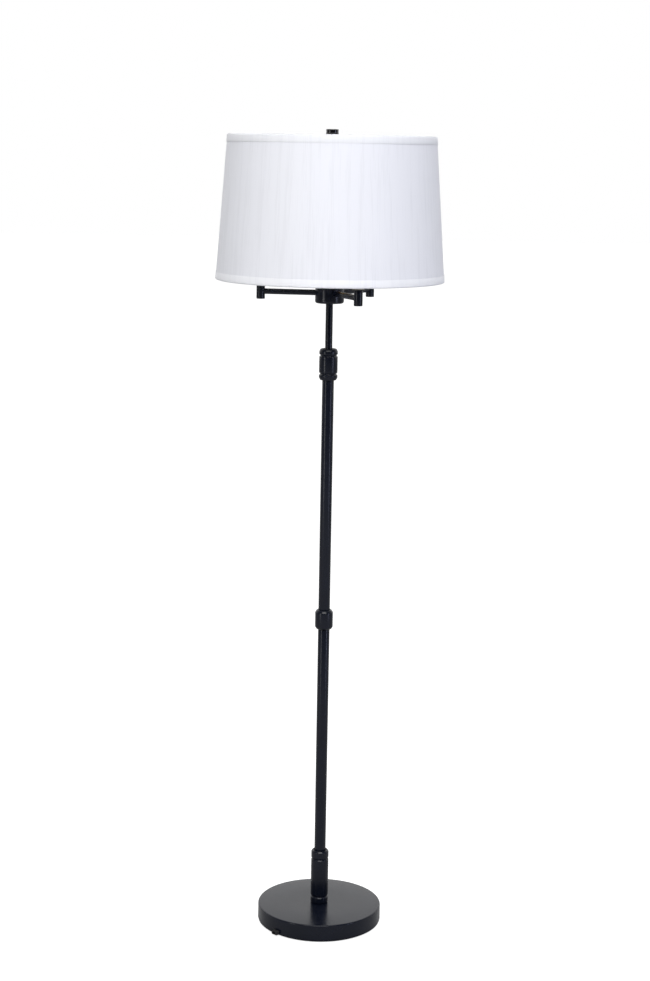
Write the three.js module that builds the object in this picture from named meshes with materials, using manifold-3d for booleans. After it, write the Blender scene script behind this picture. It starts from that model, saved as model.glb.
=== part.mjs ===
// Floor lamp with a drum shade and a cluster of three side lights round one main light.
// Millimetres, +Z up. The origin is the centre of the underside, on the floor.
import * as THREE from 'three';
import { mergeVertices } from 'three/addons/utils/BufferGeometryUtils.js';
import Module from 'manifold-3d';

const wasm = await Module();
wasm.setup();

// ---------------------------------------------------------------- driving dimensions
const GAP = 0.3;                  // kept between faces that touch
const RUNNING_GAP = 0.4;          // kept round a piece that slides or turns

const BASE_DIAMETER = 254;
const BASE_HEIGHT = 36.7;
const BASE_WALL = 1.2;
const BASE_EDGE_RADIUS = 2.6;
const PAN_INSET = 0.7;            // how far the bottom pan sits in from the cover
const PAN_TOP = 4.7;
const PAN_EDGE_RADIUS = 0.8;
const PAD_THICKNESS = 2;
const PAD_INSET = 5;
const PAD_HOLE_RADIUS = 32;
const WEIGHT_DISC = 14;           // thickness of the weight's disc
const WEIGHT_RIM = 17;            // width of the foot ring below it

const STEM_DIAMETER = 13;         // hollow threaded stem that clamps the base
const STEM_BORE = 9;
const STEM_HEIGHT = 62;           // how far it stands above the cover
const STEM_NUT_HEIGHT = 6;
const STEM_WASHER_RADIUS = 17;
const STEM_WASHER_THICKNESS = 1.7;

const BUSHING_DIRECTION = 228;    // degrees, where the lead leaves the base
const BUSHING_WIDTH = 15;
const BUSHING_HEIGHT = 8;
const BUSHING_STANDOFF = 8;
const BUSHING_BORE = 6.5;
const BUSHING_GRIP = 4;           // how far it reaches into the weight's foot ring

const TUBE_DIAMETER = 23.3;       // both fixed stages of the pole
const TUBE_WALL = 1.2;
const SLIDE_DIAMETER = 14.3;      // the telescoping stage
const SLIDE_WALL = 1;
const SLIDE_INSERTION = 240;      // length held inside the fixed stage
const FOOT_LENGTH = 25;
const FOOT_SPIGOT = 15;

const SLEEVE_STANDOFF = 6.35;      // surface of the tube to the surface of the sleeve
const SLEEVE_LENGTH = 114.3;
const SLEEVE_WALL = 1.6;
const SLEEVE_LIP = 6;             // thickness of its two closed ends
const SLEEVE_END = {              // how its two ends are turned
  footRing: 14.5,                 // lower end to the middle of its groove
  headRing: 18,
  footChamfer: [1.2, 2],          // inwards and along
  headChamfer: [2.3, 3.2],
  grooveDepth: 1.5,
};

const COLLAR_HEIGHT = 643;        // centre of the middle collar above the floor
const COLLAR_STANDOFF = 6.4;
const COLLAR_LENGTH = 40;
const COLLAR_CHAMFER = 5;
const COLLAR_CHAMFER_IN = 3.2;
const COUPLING_LENGTH = 66;
const COUPLING_WALL = 2.2;

const LOCK_HEIGHT = 1131.5;       // underside of the twist lock above the floor
const LOCK_STANDOFF = 6.7;
const LOCK_LENGTH = 62;
const LOCK_LIP = 4.5;
const LOCK_END = {
  footRing: 12.6,
  headRing: 12.8,
  footChamfer: [2.6, 5],
  headChamfer: [2, 4.8],
  grooveDepth: 2.1,
};
const COLLET_LENGTH = 30;
const COLLET_HEAD_STANDOFF = 1.35; // surface of the tube to the edge of the collet's head
const COLLET_HEAD_HEIGHT = 8.2;
const COLLET_SLIT = 2;

const GROOVE_WIDTH = 5.4;         // of the ring turned near each end of a collar

const SLIDE_EXPOSED = 90.1;       // telescoping tube showing under the hub
const HUB_DIAMETER = 56.9;
const HUB_WALL = 2.5;
const HUB_FLOOR = 3;
const HUB_EDGE_RADIUS = 4;
const HUB_CAP_THICKNESS = 2;
const HUB_CAP_LIP = 1.2;
const NUT_HEIGHT = 5.5;
const NUT_WALL = 3.2;             // thread to flat on the lamp's hexagon nuts
const ARM_NUT_WALL = 1.6;         // the same on the thinner arm nuts
const SLIDE_THREAD_SHOWING = 1;   // slide tube standing above its nut
const HUB_SPACE = 1.9;            // free height between the slide tube's end and the arm nuts

const ARM_NAMES = ['left', 'front', 'back'];
const ARM_FIRST_DIRECTION = 173.9;
const ARM_DIAMETER = 11.3;
const ARM_WALL = 1;
const ARM_REACH = 137.2;            // pole axis to the axis of the side light
const ARM_ENTRY = 7.5;            // how far an arm reaches past the hub's inner wall
const ARM_NUT_THICKNESS = 3.5;
const KNUCKLE_WALL = 2.8;         // surface of the arm to the surface of the knuckle
const KNUCKLE_HEIGHT = 30;
const KNUCKLE_EDGE_RADIUS = 1.2;
const KNUCKLE_SOCKET = 5.4;       // depth of the arm's seat in it

const CANDLE_SOCKET_RADIUS = 8;
const CANDLE_SOCKET_HEIGHT = 54;
const CANDLE_FLANGE_RADIUS = 12;
const CANDLE_FLANGE = 2;
const CANDLE_STEM_RADIUS = 4.9;
const CANDLE_STEM_CLEARANCE = 1.2;  // stem's end to the arm's seat below it
const CANDLE_SLEEVE_RADIUS = 11.4;
const CANDLE_SLEEVE_WALL = 1.2;
const CANDLE_SLEEVE_HEIGHT = 56;
const CANDLE_CAP_RADIUS = 5.9;    // the side bulb's screw cap
const CANDLE_CAP_LENGTH = 20;
const CANDLE_BULB_DIAMETER = 35;
const CANDLE_BULB_HEIGHT = 76;    // glass above the cap
const CANDLE_BELLY = 0.38;        // height of its widest, as a share of the glass
const CANDLE_POINT = 0.12;        // how blunt its tip is: 0 comes to a point

const NIPPLE_RADIUS = 5;
const NIPPLE_BORE_RADIUS = 3.5;
const SADDLE_THICKNESS = 1.5;
const SADDLE_WIDTH = 14;
const SADDLE_HALF_SPAN = 26;
const SADDLE_PIN_HEIGHT = 13;
const WIRE_RADIUS = 1.9;          // harp wire and saddle pins
const HARP_HEIGHT = 279.4;        // saddle to the shade's seat
const HARP_BULGE = 76;            // half-width that the bow's sides lean out towards
const HARP_BULGE_SHARE = 0.35;    // height of that lean, as a share of the bow's height
const HARP_SHOULDER = 64;         // half-width of the bow's crown
const FERRULE_LENGTH = 20;
const FERRULE_WALL = 1.2;
const SEAT_RADIUS = 8;
const SEAT_THICKNESS = 2;
const STUD_RADIUS = 3;
const STUD_HEIGHT = 13;

const SOCKET_RADIUS = 17.5;
const SOCKET_WALL = 0.8;
const SOCKET_CAP_HEIGHT = 16;
const SOCKET_NECK_RADIUS = 9;
const SOCKET_SHELL_HEIGHT = 38;
const CORE_RADIUS = 15.8;
const CORE_RECESS = 1;            // holder's body below the shell's rim
const CAP_SEAT_DEPTH = 23;        // depth of the main lamp holder's thread
const BULB_CAP_RADIUS = 13.1;
const BULB_CAP_LENGTH = 26;
const BULB_DIAMETER = 67;
const BULB_HEIGHT = 109;          // glass above the cap
const BULB_BELLY = 0.62;
const BULB_POINT = 0.62;
const GLASS_WALL = 1;
const NECK_SHARE = 0.94;          // glass neck against the screw cap's radius
const TIP_SHARE = 0.55;           // contact's insulator against the screw cap's radius
const CAP_TAPER = 0.25;           // lower part of the cap that narrows to its contact
const NECK_PULL = 0.4;            // how far up the neck stays straight before the glass swells
const BELLY_PULL = 0.5;           // how gently the side comes round to its widest
const CROWN_PULL = 0.55;          // how round the crown is above the widest
const VENT_RADIUS = 1.5;

const SWITCH_RADIUS = 7;
const SWITCH_DEPTH = 10;
const SWITCH_SHAFT_RADIUS = 2.4;
const SWITCH_SHAFT_SHOWING = 9;   // shaft that the knob covers
const KNOB_RADIUS = 6.2;
const KNOB_LENGTH = 14;
const KNOB_EDGE_RADIUS = 1.4;
const MAIN_SWITCH_HEIGHT = 9;     // shaft above the socket shell's lower edge
const MAIN_SWITCH_DIRECTION = 270;

const SHADE_BOTTOM_DIAMETER = 451.6;
const SHADE_TOP_DIAMETER = 408.7;
const SHADE_HEIGHT = 281.1;
const SHADE_WALL = 1.4;
const TRIM_THICKNESS = 0.8;
const TRIM_WIDTH = 15.5;
const HOOP_WIRE_RADIUS = 1.6;
const SPIDER_RECESS = 12.1;       // seat below the shade's top rim
const SPIDER_WASHER_RADIUS = 16;
const SPIDER_WASHER_THICKNESS = 1.6;
const SPOKE_COUNT = 3;
const SPOKE_FIRST_DIRECTION = 90;
const SPOKE_STEPS = 8;
const SPOKE_START = 0.7;          // where a spoke joins the washer, as a share of its radius
const SPOKE_FLAT = 0.5;           // how far out the spoke's lower pull reaches, as a share of the ring
const SPOKE_RISE = 0.6;           // and its upper one

const FINIAL_DIAMETER = 25;
const FINIAL_DRUM_HEIGHT = 15.6;
const FINIAL_NECK_RADIUS = 6;
const FINIAL_NECK_HEIGHT = 5.4;
const FINIAL_EDGE_RADIUS = 1;

const WIDE = 36;                  // sides of the shade and the base
const ROUND = 20;                 // sides of collars and the hub
const SLIM = 16;                  // sides of tubes
const SMALL = 12;                 // sides of fittings
const WIRE_SIDES = 6;
const FILLET_STEPS = 2;
const GLASS_STEPS = 3;            // steps along each half of a bulb's side
const HARP_STEPS = 30;

// ---------------------------------------------------------------- places worked out from them
// Distance from a hexagon nut's axis to its corners.
function nutCorner(boreRadius, wall) {
  return (boreRadius + wall) * 2 / Math.sqrt(3);
}

const baseRadius = BASE_DIAMETER / 2;
const tubeRadius = TUBE_DIAMETER / 2;
const tubeBore = tubeRadius - TUBE_WALL;
const slideRadius = SLIDE_DIAMETER / 2;
const slideBore = slideRadius - SLIDE_WALL;
const stemRadius = STEM_DIAMETER / 2;
const coverUnderside = BASE_HEIGHT - BASE_WALL;
const weightTop = coverUnderside - GAP;
const weightDiscBottom = weightTop - WEIGHT_DISC;
const panFloor = PAD_THICKNESS + GAP;
const lockTop = LOCK_HEIGHT + LOCK_LENGTH;
const hubBottom = lockTop + SLIDE_EXPOSED;
const hubRadius = HUB_DIAMETER / 2;
const hubInner = hubRadius - HUB_WALL;
const tubeNutLow = hubBottom + HUB_FLOOR + GAP;
const slideTop = tubeNutLow + NUT_HEIGHT + SLIDE_THREAD_SHOWING;
const armRadius = ARM_DIAMETER / 2;
const armNutCorner = nutCorner(armRadius + GAP, ARM_NUT_WALL);
const armHeight = slideTop + HUB_SPACE + armNutCorner;
const hubTop = armHeight + armNutCorner + HUB_CAP_LIP;
const capTop = hubTop + GAP + HUB_CAP_THICKNESS;
const knuckleRadius = armRadius + KNUCKLE_WALL;
const saddleTop = capTop + GAP + SADDLE_THICKNESS;
const seatHeight = saddleTop + HARP_HEIGHT;
const shadeTop = seatHeight + SPIDER_RECESS;
const shadeBottom = shadeTop - SHADE_HEIGHT;
const socketBottom = saddleTop + GAP;
const shellBottom = socketBottom + SOCKET_CAP_HEIGHT + GAP;
const slideBottom = lockTop - SLIDE_INSERTION;
const wireSeat = WIRE_RADIUS + GAP;

// ---------------------------------------------------------------- finishes
function finish(color, roughness, metalness) {
  return new THREE.MeshStandardMaterial({ color, roughness, metalness });
}

const blackPaint = finish(0x1d2026, 0.35, 0.2);
const glossBlack = finish(0x111215, 0.12, 0.2);
const zincSteel = finish(0xa9abad, 0.4, 0.9);
const castIron = finish(0x4a4a4a, 0.8, 0.6);
const brass = finish(0xb08d4f, 0.35, 1);
const nylon = finish(0xd8d6cf, 0.6, 0);
const phenolic = finish(0x241c18, 0.5, 0);
const rubber = finish(0x161616, 0.85, 0);
const felt = finish(0x222222, 0.95, 0);
const whiteCard = finish(0xece9e1, 0.7, 0);
const opalGlass = finish(0xf4f2ec, 0.15, 0);
const linen = finish(0xeeeef2, 0.8, 0);
const linenTrim = finish(0xf4f4f7, 0.75, 0);

// ---------------------------------------------------------------- shape helpers
// Turns a list of corners [radius, height, fillet] into points, with each fillet as a short arc.
function outline(corners) {
  const points = [];
  corners.forEach(([radius, height, fillet = 0], i) => {
    const corner = new THREE.Vector2(radius, height);
    if (!fillet) {
      points.push(corner);
      return;
    }
    const last = corners.at(i - 1);
    const next = corners[(i + 1) % corners.length];
    const toLast = new THREE.Vector2(last[0], last[1]).sub(corner).normalize();
    const toNext = new THREE.Vector2(next[0], next[1]).sub(corner).normalize();
    const half = Math.acos(toLast.dot(toNext)) / 2;
    const centre = toLast.clone().add(toNext).normalize().multiplyScalar(fillet / Math.sin(half)).add(corner);
    const start = toLast.multiplyScalar(fillet / Math.tan(half)).add(corner).sub(centre);
    const end = toNext.multiplyScalar(fillet / Math.tan(half)).add(corner).sub(centre);
    const sweep = Math.atan2(start.cross(end), start.dot(end));
    for (let step = 0; step <= FILLET_STEPS; step += 1) {
      const turn = sweep * step / FILLET_STEPS;
      points.push(start.clone().rotateAround(new THREE.Vector2(), turn).add(centre));
    }
  });
  return points;
}

// Turns an outline round the Z axis. It starts and ends on the axis, or closes on itself.
function revolve(corners, sides) {
  const points = outline(corners);
  if (THREE.ShapeUtils.area(points) < 0) points.reverse();
  if (points[0].x > 0) points.push(points[0].clone());
  return new THREE.LatheGeometry(points, sides).rotateX(Math.PI / 2);
}

// A tube or washer between two radii and two heights.
function ring(inner, outer, low, high, sides) {
  return revolve([[inner, low], [outer, low], [outer, high], [inner, high]], sides);
}

// A plain rod on the Z axis.
function rod(radius, low, high, sides) {
  return revolve([[0, low], [radius, low], [radius, high], [0, high]], sides);
}

// Lays a piece that was made along Z down along X.
function alongX(geometry) {
  return geometry.rotateY(Math.PI / 2);
}

// A round wire that follows a curve, with flat ends.
function wire(curve, radius, steps) {
  const section = new THREE.Shape().absarc(0, 0, radius, 0, 2 * Math.PI);
  const options = { extrudePath: curve, steps, curveSegments: WIRE_SIDES / 2, bevelEnabled: false };
  return new THREE.ExtrudeGeometry(section, options);
}

// A hexagon nut with a round hole, standing on a given height.
function hexNut(boreRadius, wall, low, height) {
  const corner = nutCorner(boreRadius, wall);
  const shape = new THREE.Shape();
  for (let side = 0; side < 6; side += 1) {
    const angle = side * Math.PI / 3;
    const point = [corner * Math.cos(angle), corner * Math.sin(angle)];
    if (side === 0) shape.moveTo(...point);
    else shape.lineTo(...point);
  }
  shape.closePath();
  shape.holes.push(new THREE.Path().absarc(0, 0, boreRadius, 0, 2 * Math.PI));
  const options = { depth: height, curveSegments: SMALL / 2, bevelEnabled: false };
  return new THREE.ExtrudeGeometry(shape, options).translate(0, 0, low);
}

// A closed geometry as a solid that can be joined and cut.
function toSolid(geometry) {
  geometry.deleteAttribute('normal');
  geometry.deleteAttribute('uv');
  const merged = mergeVertices(geometry, 1e-4);
  const triVerts = [];
  for (let i = 0; i < merged.index.count; i += 3) {
    const [a, b, c] = merged.index.array.slice(i, i + 3);
    if (a !== b && b !== c && c !== a) triVerts.push(a, b, c);
  }
  const vertProperties = new Float32Array(merged.attributes.position.array);
  const mesh = new wasm.Mesh({ numProp: 3, vertProperties, triVerts: new Uint32Array(triVerts) });
  return new wasm.Manifold(mesh);
}

function toGeometry(solid) {
  const mesh = solid.getMesh();
  const geometry = new THREE.BufferGeometry();
  geometry.setAttribute('position', new THREE.BufferAttribute(mesh.vertProperties, 3));
  geometry.setIndex(new THREE.BufferAttribute(mesh.triVerts, 1));
  return geometry;
}

function join(first, ...others) {
  return toGeometry(others.reduce((sum, other) => sum.add(toSolid(other)), toSolid(first)));
}

function cut(body, ...tools) {
  return toGeometry(tools.reduce((rest, tool) => rest.subtract(toSolid(tool)), toSolid(body)));
}

// Adds one named piece to a group.
function add(group, name, geometry, material) {
  const clean = toGeometry(toSolid(geometry));
  clean.computeVertexNormals();
  const mesh = new THREE.Mesh(clean, material);
  mesh.name = name;
  group.add(mesh);
}

const lamp = new THREE.Group();

// ---------------------------------------------------------------- base
add(lamp, 'floor_pad', ring(PAD_HOLE_RADIUS, baseRadius - PAD_INSET, 0, PAD_THICKNESS, WIDE), felt);

const panRadius = baseRadius - PAN_INSET;
const bushingAngle = THREE.MathUtils.degToRad(BUSHING_DIRECTION);
const bushingLow = panFloor + BASE_WALL + GAP;

// Block that clears a piece of a given extra size out of the base's rim, where the lead leaves it.
function bushingBlock(clearance) {
  const length = BASE_WALL + BUSHING_STANDOFF + WEIGHT_RIM + BUSHING_GRIP;
  const block = new THREE.BoxGeometry(length, BUSHING_WIDTH + 2 * clearance, BUSHING_HEIGHT + 2 * clearance);
  block.translate(baseRadius + BUSHING_STANDOFF - length / 2, 0, bushingLow + BUSHING_HEIGHT / 2);
  return block.rotateZ(bushingAngle);
}

const panProfile = [
  [STEM_WASHER_RADIUS, panFloor],
  [panRadius, panFloor, PAN_EDGE_RADIUS],
  [panRadius, PAN_TOP],
  [panRadius - BASE_WALL, PAN_TOP],
  [panRadius - BASE_WALL, panFloor + BASE_WALL],
  [STEM_WASHER_RADIUS, panFloor + BASE_WALL],
];
add(lamp, 'bottom_pan', cut(revolve(panProfile, WIDE), bushingBlock(GAP)), blackPaint);

const weightRadius = baseRadius - BASE_WALL - GAP;
const weightInner = weightRadius - WEIGHT_RIM;
const weightProfile = [
  [stemRadius + GAP, weightDiscBottom],
  [weightInner, weightDiscBottom],
  [weightInner, PAN_TOP + GAP],
  [weightRadius, PAN_TOP + GAP],
  [weightRadius, weightTop, BASE_EDGE_RADIUS],
  [stemRadius + GAP, weightTop],
];
add(lamp, 'base_weight', cut(revolve(weightProfile, WIDE), bushingBlock(GAP)), castIron);

const coverProfile = [
  [baseRadius, PAN_TOP + GAP],
  [baseRadius, BASE_HEIGHT, BASE_EDGE_RADIUS],
  [stemRadius + GAP, BASE_HEIGHT],
  [stemRadius + GAP, coverUnderside],
  [baseRadius - BASE_WALL, coverUnderside, BASE_EDGE_RADIUS - BASE_WALL],
  [baseRadius - BASE_WALL, PAN_TOP + GAP],
];
add(lamp, 'base_cover', cut(revolve(coverProfile, WIDE), bushingBlock(GAP)), blackPaint);

const leadHole = alongX(rod(BUSHING_BORE / 2, 0, baseRadius * 2, SMALL));
leadHole.translate(0, 0, bushingLow + BUSHING_HEIGHT / 2).rotateZ(bushingAngle);
add(lamp, 'cord_bushing', cut(bushingBlock(0), leadHole), rubber);

const washerTop = weightDiscBottom - GAP;
const washerLow = washerTop - STEM_WASHER_THICKNESS;
const stemNutLow = washerLow - GAP - STEM_NUT_HEIGHT;
const stemTop = BASE_HEIGHT + STEM_HEIGHT;
add(lamp, 'stem_washer', ring(stemRadius + GAP, STEM_WASHER_RADIUS, washerLow, washerTop, SLIM), zincSteel);
add(lamp, 'stem_nut', hexNut(stemRadius + GAP, NUT_WALL, stemNutLow, STEM_NUT_HEIGHT), zincSteel);
add(lamp, 'threaded_stem', ring(STEM_BORE / 2, stemRadius, stemNutLow, stemTop, SLIM), zincSteel);

// ---------------------------------------------------------------- fixed pole
const poleBottom = BASE_HEIGHT + GAP;
add(lamp, 'pole_plug', ring(stemRadius + GAP, tubeBore - GAP, poleBottom, stemTop - GAP, SLIM), zincSteel);

// Corners of a collar's outside from its lower end up, each end a chamfer, a plain band and a groove.
function ringedSide(radius, low, high, end) {
  const lowGroove = low + end.footRing;
  const highGroove = high - end.headRing;
  return [
    [radius - end.footChamfer[0], low],
    [radius, low + end.footChamfer[1]],
    [radius, lowGroove - GROOVE_WIDTH / 2],
    [radius - end.grooveDepth, lowGroove],
    [radius, lowGroove + GROOVE_WIDTH / 2],
    [radius, highGroove - GROOVE_WIDTH / 2],
    [radius - end.grooveDepth, highGroove],
    [radius, highGroove + GROOVE_WIDTH / 2],
    [radius, high - end.headChamfer[1]],
    [radius - end.headChamfer[0], high],
  ];
}

const collarBore = tubeRadius + GAP;
const sleeveTop = BASE_HEIGHT + SLEEVE_LENGTH;
const sleeveRadius = tubeRadius + SLEEVE_STANDOFF;
const sleeveInner = sleeveRadius - SLEEVE_END.grooveDepth - SLEEVE_WALL;
const sleeveProfile = [
  ...ringedSide(sleeveRadius, poleBottom, sleeveTop, SLEEVE_END),
  [collarBore, sleeveTop],
  [collarBore, sleeveTop - SLEEVE_LIP],
  [sleeveInner, sleeveTop - SLEEVE_LIP],
  [sleeveInner, poleBottom + SLEEVE_LIP],
  [collarBore, poleBottom + SLEEVE_LIP],
  [collarBore, poleBottom],
];
add(lamp, 'base_sleeve', revolve(sleeveProfile, ROUND), blackPaint);

const stageSplit = COLLAR_HEIGHT;
const upperTubeTop = lockTop - LOCK_LIP - GAP - COLLET_HEAD_HEIGHT - GAP;
add(lamp, 'lower_tube', ring(tubeBore, tubeRadius, poleBottom, stageSplit - GAP / 2, SLIM), blackPaint);
add(lamp, 'upper_tube', ring(tubeBore, tubeRadius, stageSplit + GAP / 2, upperTubeTop, SLIM), blackPaint);

const couplingRadius = tubeBore - GAP;
const couplingLow = stageSplit - COUPLING_LENGTH / 2;
const couplingBore = couplingRadius - COUPLING_WALL;
const coupling = ring(couplingBore, couplingRadius, couplingLow, couplingLow + COUPLING_LENGTH, SLIM);
add(lamp, 'tube_coupling', coupling, zincSteel);

const collarRadius = tubeRadius + COLLAR_STANDOFF;
const collarLow = COLLAR_HEIGHT - COLLAR_LENGTH / 2;
const collarTop = collarLow + COLLAR_LENGTH;
const collarProfile = [
  [collarBore, collarLow],
  [collarRadius - COLLAR_CHAMFER_IN, collarLow],
  [collarRadius, collarLow + COLLAR_CHAMFER, COLLAR_CHAMFER / 2],
  [collarRadius, collarTop - COLLAR_CHAMFER, COLLAR_CHAMFER / 2],
  [collarRadius - COLLAR_CHAMFER_IN, collarTop],
  [collarBore, collarTop],
];
add(lamp, 'middle_collar', revolve(collarProfile, ROUND), blackPaint);

// ---------------------------------------------------------------- twist lock
const colletBore = slideRadius + RUNNING_GAP;
const colletHeadRadius = tubeRadius + COLLET_HEAD_STANDOFF;
const colletLow = upperTubeTop - COLLET_LENGTH;
const colletHeadLow = upperTubeTop + GAP;
const colletTop = colletHeadLow + COLLET_HEAD_HEIGHT;
const colletProfile = [
  [colletBore, colletLow],
  [tubeBore - GAP, colletLow],
  [tubeBore - GAP, colletHeadLow],
  [colletHeadRadius, colletHeadLow],
  [colletHeadRadius, colletHeadLow + COLLET_HEAD_HEIGHT / 2],
  [colletBore + COLLET_SLIT / 2, colletTop],
  [colletBore, colletTop],
];
const slit = new THREE.BoxGeometry(colletHeadRadius * 2, COLLET_SLIT, COLLET_LENGTH);
slit.translate(colletHeadRadius, 0, colletTop);
add(lamp, 'lock_collet', cut(revolve(colletProfile, SLIM), slit), nylon);

const lockRadius = tubeRadius + LOCK_STANDOFF;
const lockBore = tubeRadius + RUNNING_GAP;
const lockHollow = colletHeadRadius + RUNNING_GAP;
const lockHollowTop = lockTop - LOCK_LIP;
const lockProfile = [
  ...ringedSide(lockRadius, LOCK_HEIGHT, lockTop, LOCK_END),
  [colletBore, lockTop],
  [colletBore, lockHollowTop],
  [lockHollow, lockHollowTop],
  [lockHollow, upperTubeTop - GAP],
  [lockBore, upperTubeTop - GAP],
  [lockBore, LOCK_HEIGHT],
];
add(lamp, 'lock_collar', revolve(lockProfile, ROUND), blackPaint);

// ---------------------------------------------------------------- telescoping stage
const footProfile = [
  [STEM_BORE / 2, slideBottom],
  [tubeBore - RUNNING_GAP, slideBottom],
  [tubeBore - RUNNING_GAP, slideBottom + FOOT_LENGTH],
  [slideBore - GAP, slideBottom + FOOT_LENGTH],
  [slideBore - GAP, slideBottom + FOOT_LENGTH + FOOT_SPIGOT],
  [STEM_BORE / 2, slideBottom + FOOT_LENGTH + FOOT_SPIGOT],
];
add(lamp, 'slide_foot', revolve(footProfile, SLIM), nylon);

const slideTube = ring(slideBore, slideRadius, slideBottom + FOOT_LENGTH + GAP, slideTop, SLIM);
add(lamp, 'slide_tube', slideTube, blackPaint);
add(lamp, 'slide_nut', hexNut(slideRadius + GAP, NUT_WALL, tubeNutLow, NUT_HEIGHT), zincSteel);

// ---------------------------------------------------------------- hub
const armDirections = ARM_NAMES.map((_, i) =>
  THREE.MathUtils.degToRad(ARM_FIRST_DIRECTION + i * 360 / ARM_NAMES.length));
const switchDirection = armDirections[0] - Math.PI / ARM_NAMES.length;

// Cutter that opens the hub's wall for a round piece.
function wallHole(radius, direction) {
  const tool = alongX(rod(radius, hubInner - 2 * HUB_WALL, hubRadius + HUB_WALL, SMALL));
  return tool.rotateZ(direction).translate(0, 0, armHeight);
}

const hubProfile = [
  [slideRadius + GAP, hubBottom],
  [hubRadius, hubBottom, HUB_EDGE_RADIUS],
  [hubRadius, hubTop],
  [hubInner, hubTop],
  [hubInner, hubBottom + HUB_FLOOR],
  [slideRadius + GAP, hubBottom + HUB_FLOOR],
];
const armHoles = armDirections.map((direction) => wallHole(armRadius + GAP, direction));
const switchHole = wallHole(SWITCH_SHAFT_RADIUS + GAP, switchDirection);
add(lamp, 'hub_body', cut(revolve(hubProfile, ROUND), ...armHoles, switchHole), blackPaint);

const capLow = hubTop + GAP;
const capProfile = [
  [NIPPLE_RADIUS + GAP, capLow - HUB_CAP_LIP],
  [hubInner - GAP, capLow - HUB_CAP_LIP],
  [hubInner - GAP, capLow],
  [hubRadius, capLow],
  [hubRadius, capTop, HUB_CAP_THICKNESS / 2],
  [NIPPLE_RADIUS + GAP, capTop],
];
add(lamp, 'hub_cap', revolve(capProfile, ROUND), blackPaint);

const capNutTop = capLow - HUB_CAP_LIP - GAP;
const nippleTop = socketBottom + SOCKET_CAP_HEIGHT / 2;
const nippleLow = capNutTop - NUT_HEIGHT;
add(lamp, 'cap_nut', hexNut(NIPPLE_RADIUS + GAP, ARM_NUT_WALL, nippleLow, NUT_HEIGHT), zincSteel);
add(lamp, 'centre_nipple', ring(NIPPLE_BORE_RADIUS, NIPPLE_RADIUS, nippleLow, nippleTop, SMALL), zincSteel);

// Rotary switch for the side lights, behind its hole in the hub's wall.
const sideSwitch = new THREE.Group();
sideSwitch.position.z = armHeight;
sideSwitch.rotation.z = switchDirection;
lamp.add(sideSwitch);
const switchFace = Math.sqrt(hubInner ** 2 - SWITCH_RADIUS ** 2) - GAP;
const shaftEnd = hubRadius + SWITCH_SHAFT_SHOWING;
const switchProfile = [
  [0, switchFace - SWITCH_DEPTH],
  [SWITCH_RADIUS, switchFace - SWITCH_DEPTH],
  [SWITCH_RADIUS, switchFace],
  [SWITCH_SHAFT_RADIUS, switchFace],
  [SWITCH_SHAFT_RADIUS, shaftEnd],
  [0, shaftEnd],
];
add(sideSwitch, 'side_switch', alongX(revolve(switchProfile, SMALL)), phenolic);

// Turning knob on a shaft along X, from its inner face out.
function knob(innerFace, shaftTip) {
  const outerFace = innerFace + KNOB_LENGTH;
  const boreEnd = shaftTip + RUNNING_GAP;
  const boreRadius = SWITCH_SHAFT_RADIUS + RUNNING_GAP;
  const profile = [
    [0, boreEnd],
    [boreRadius, boreEnd],
    [boreRadius, innerFace],
    [KNOB_RADIUS, innerFace],
    [KNOB_RADIUS, outerFace, KNOB_EDGE_RADIUS],
    [0, outerFace],
  ];
  return alongX(revolve(profile, SMALL));
}
const sideKnob = knob(hubRadius + RUNNING_GAP * 2, shaftEnd);
add(sideSwitch, 'side_switch_knob', sideKnob, glossBlack);

// ---------------------------------------------------------------- arms and side lights
// Glass bulb on a screw cap, hollow, with a small vent in the end of the cap.
// The belly is where the glass is widest, as a share of its height.
function bulb(capRadius, capLength, glassRadius, glassHeight, belly, tip) {
  const neck = capRadius * NECK_SHARE;
  const widest = capLength + glassHeight * belly;
  const top = capLength + glassHeight;
  const side = new THREE.CubicBezierCurve(
    new THREE.Vector2(neck, capLength),
    new THREE.Vector2(neck, capLength + glassHeight * belly * NECK_PULL),
    new THREE.Vector2(glassRadius, widest - glassHeight * belly * BELLY_PULL),
    new THREE.Vector2(glassRadius, widest),
  ).getPoints(GLASS_STEPS);
  const crown = new THREE.CubicBezierCurve(
    new THREE.Vector2(glassRadius, widest),
    new THREE.Vector2(glassRadius, widest + (top - widest) * CROWN_PULL),
    new THREE.Vector2(glassRadius * tip, top),
    new THREE.Vector2(0, top),
  ).getPoints(GLASS_STEPS).slice(1);
  const outside = [...side, ...crown].map((point) => [point.x, point.y]);
  const inside = outside.map(([r, z]) => [Math.max(r - GLASS_WALL, 0), r > 0 ? z : z - GLASS_WALL]);
  const bore = [[VENT_RADIUS, capLength - GLASS_WALL], [VENT_RADIUS, 0]];
  const cap = [
    [capRadius * TIP_SHARE, 0],
    [capRadius, capLength * CAP_TAPER],
    [capRadius, capLength - GLASS_WALL],
  ];
  return revolve([...inside.reverse(), ...bore, ...cap, ...outside], SMALL);
}

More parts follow.
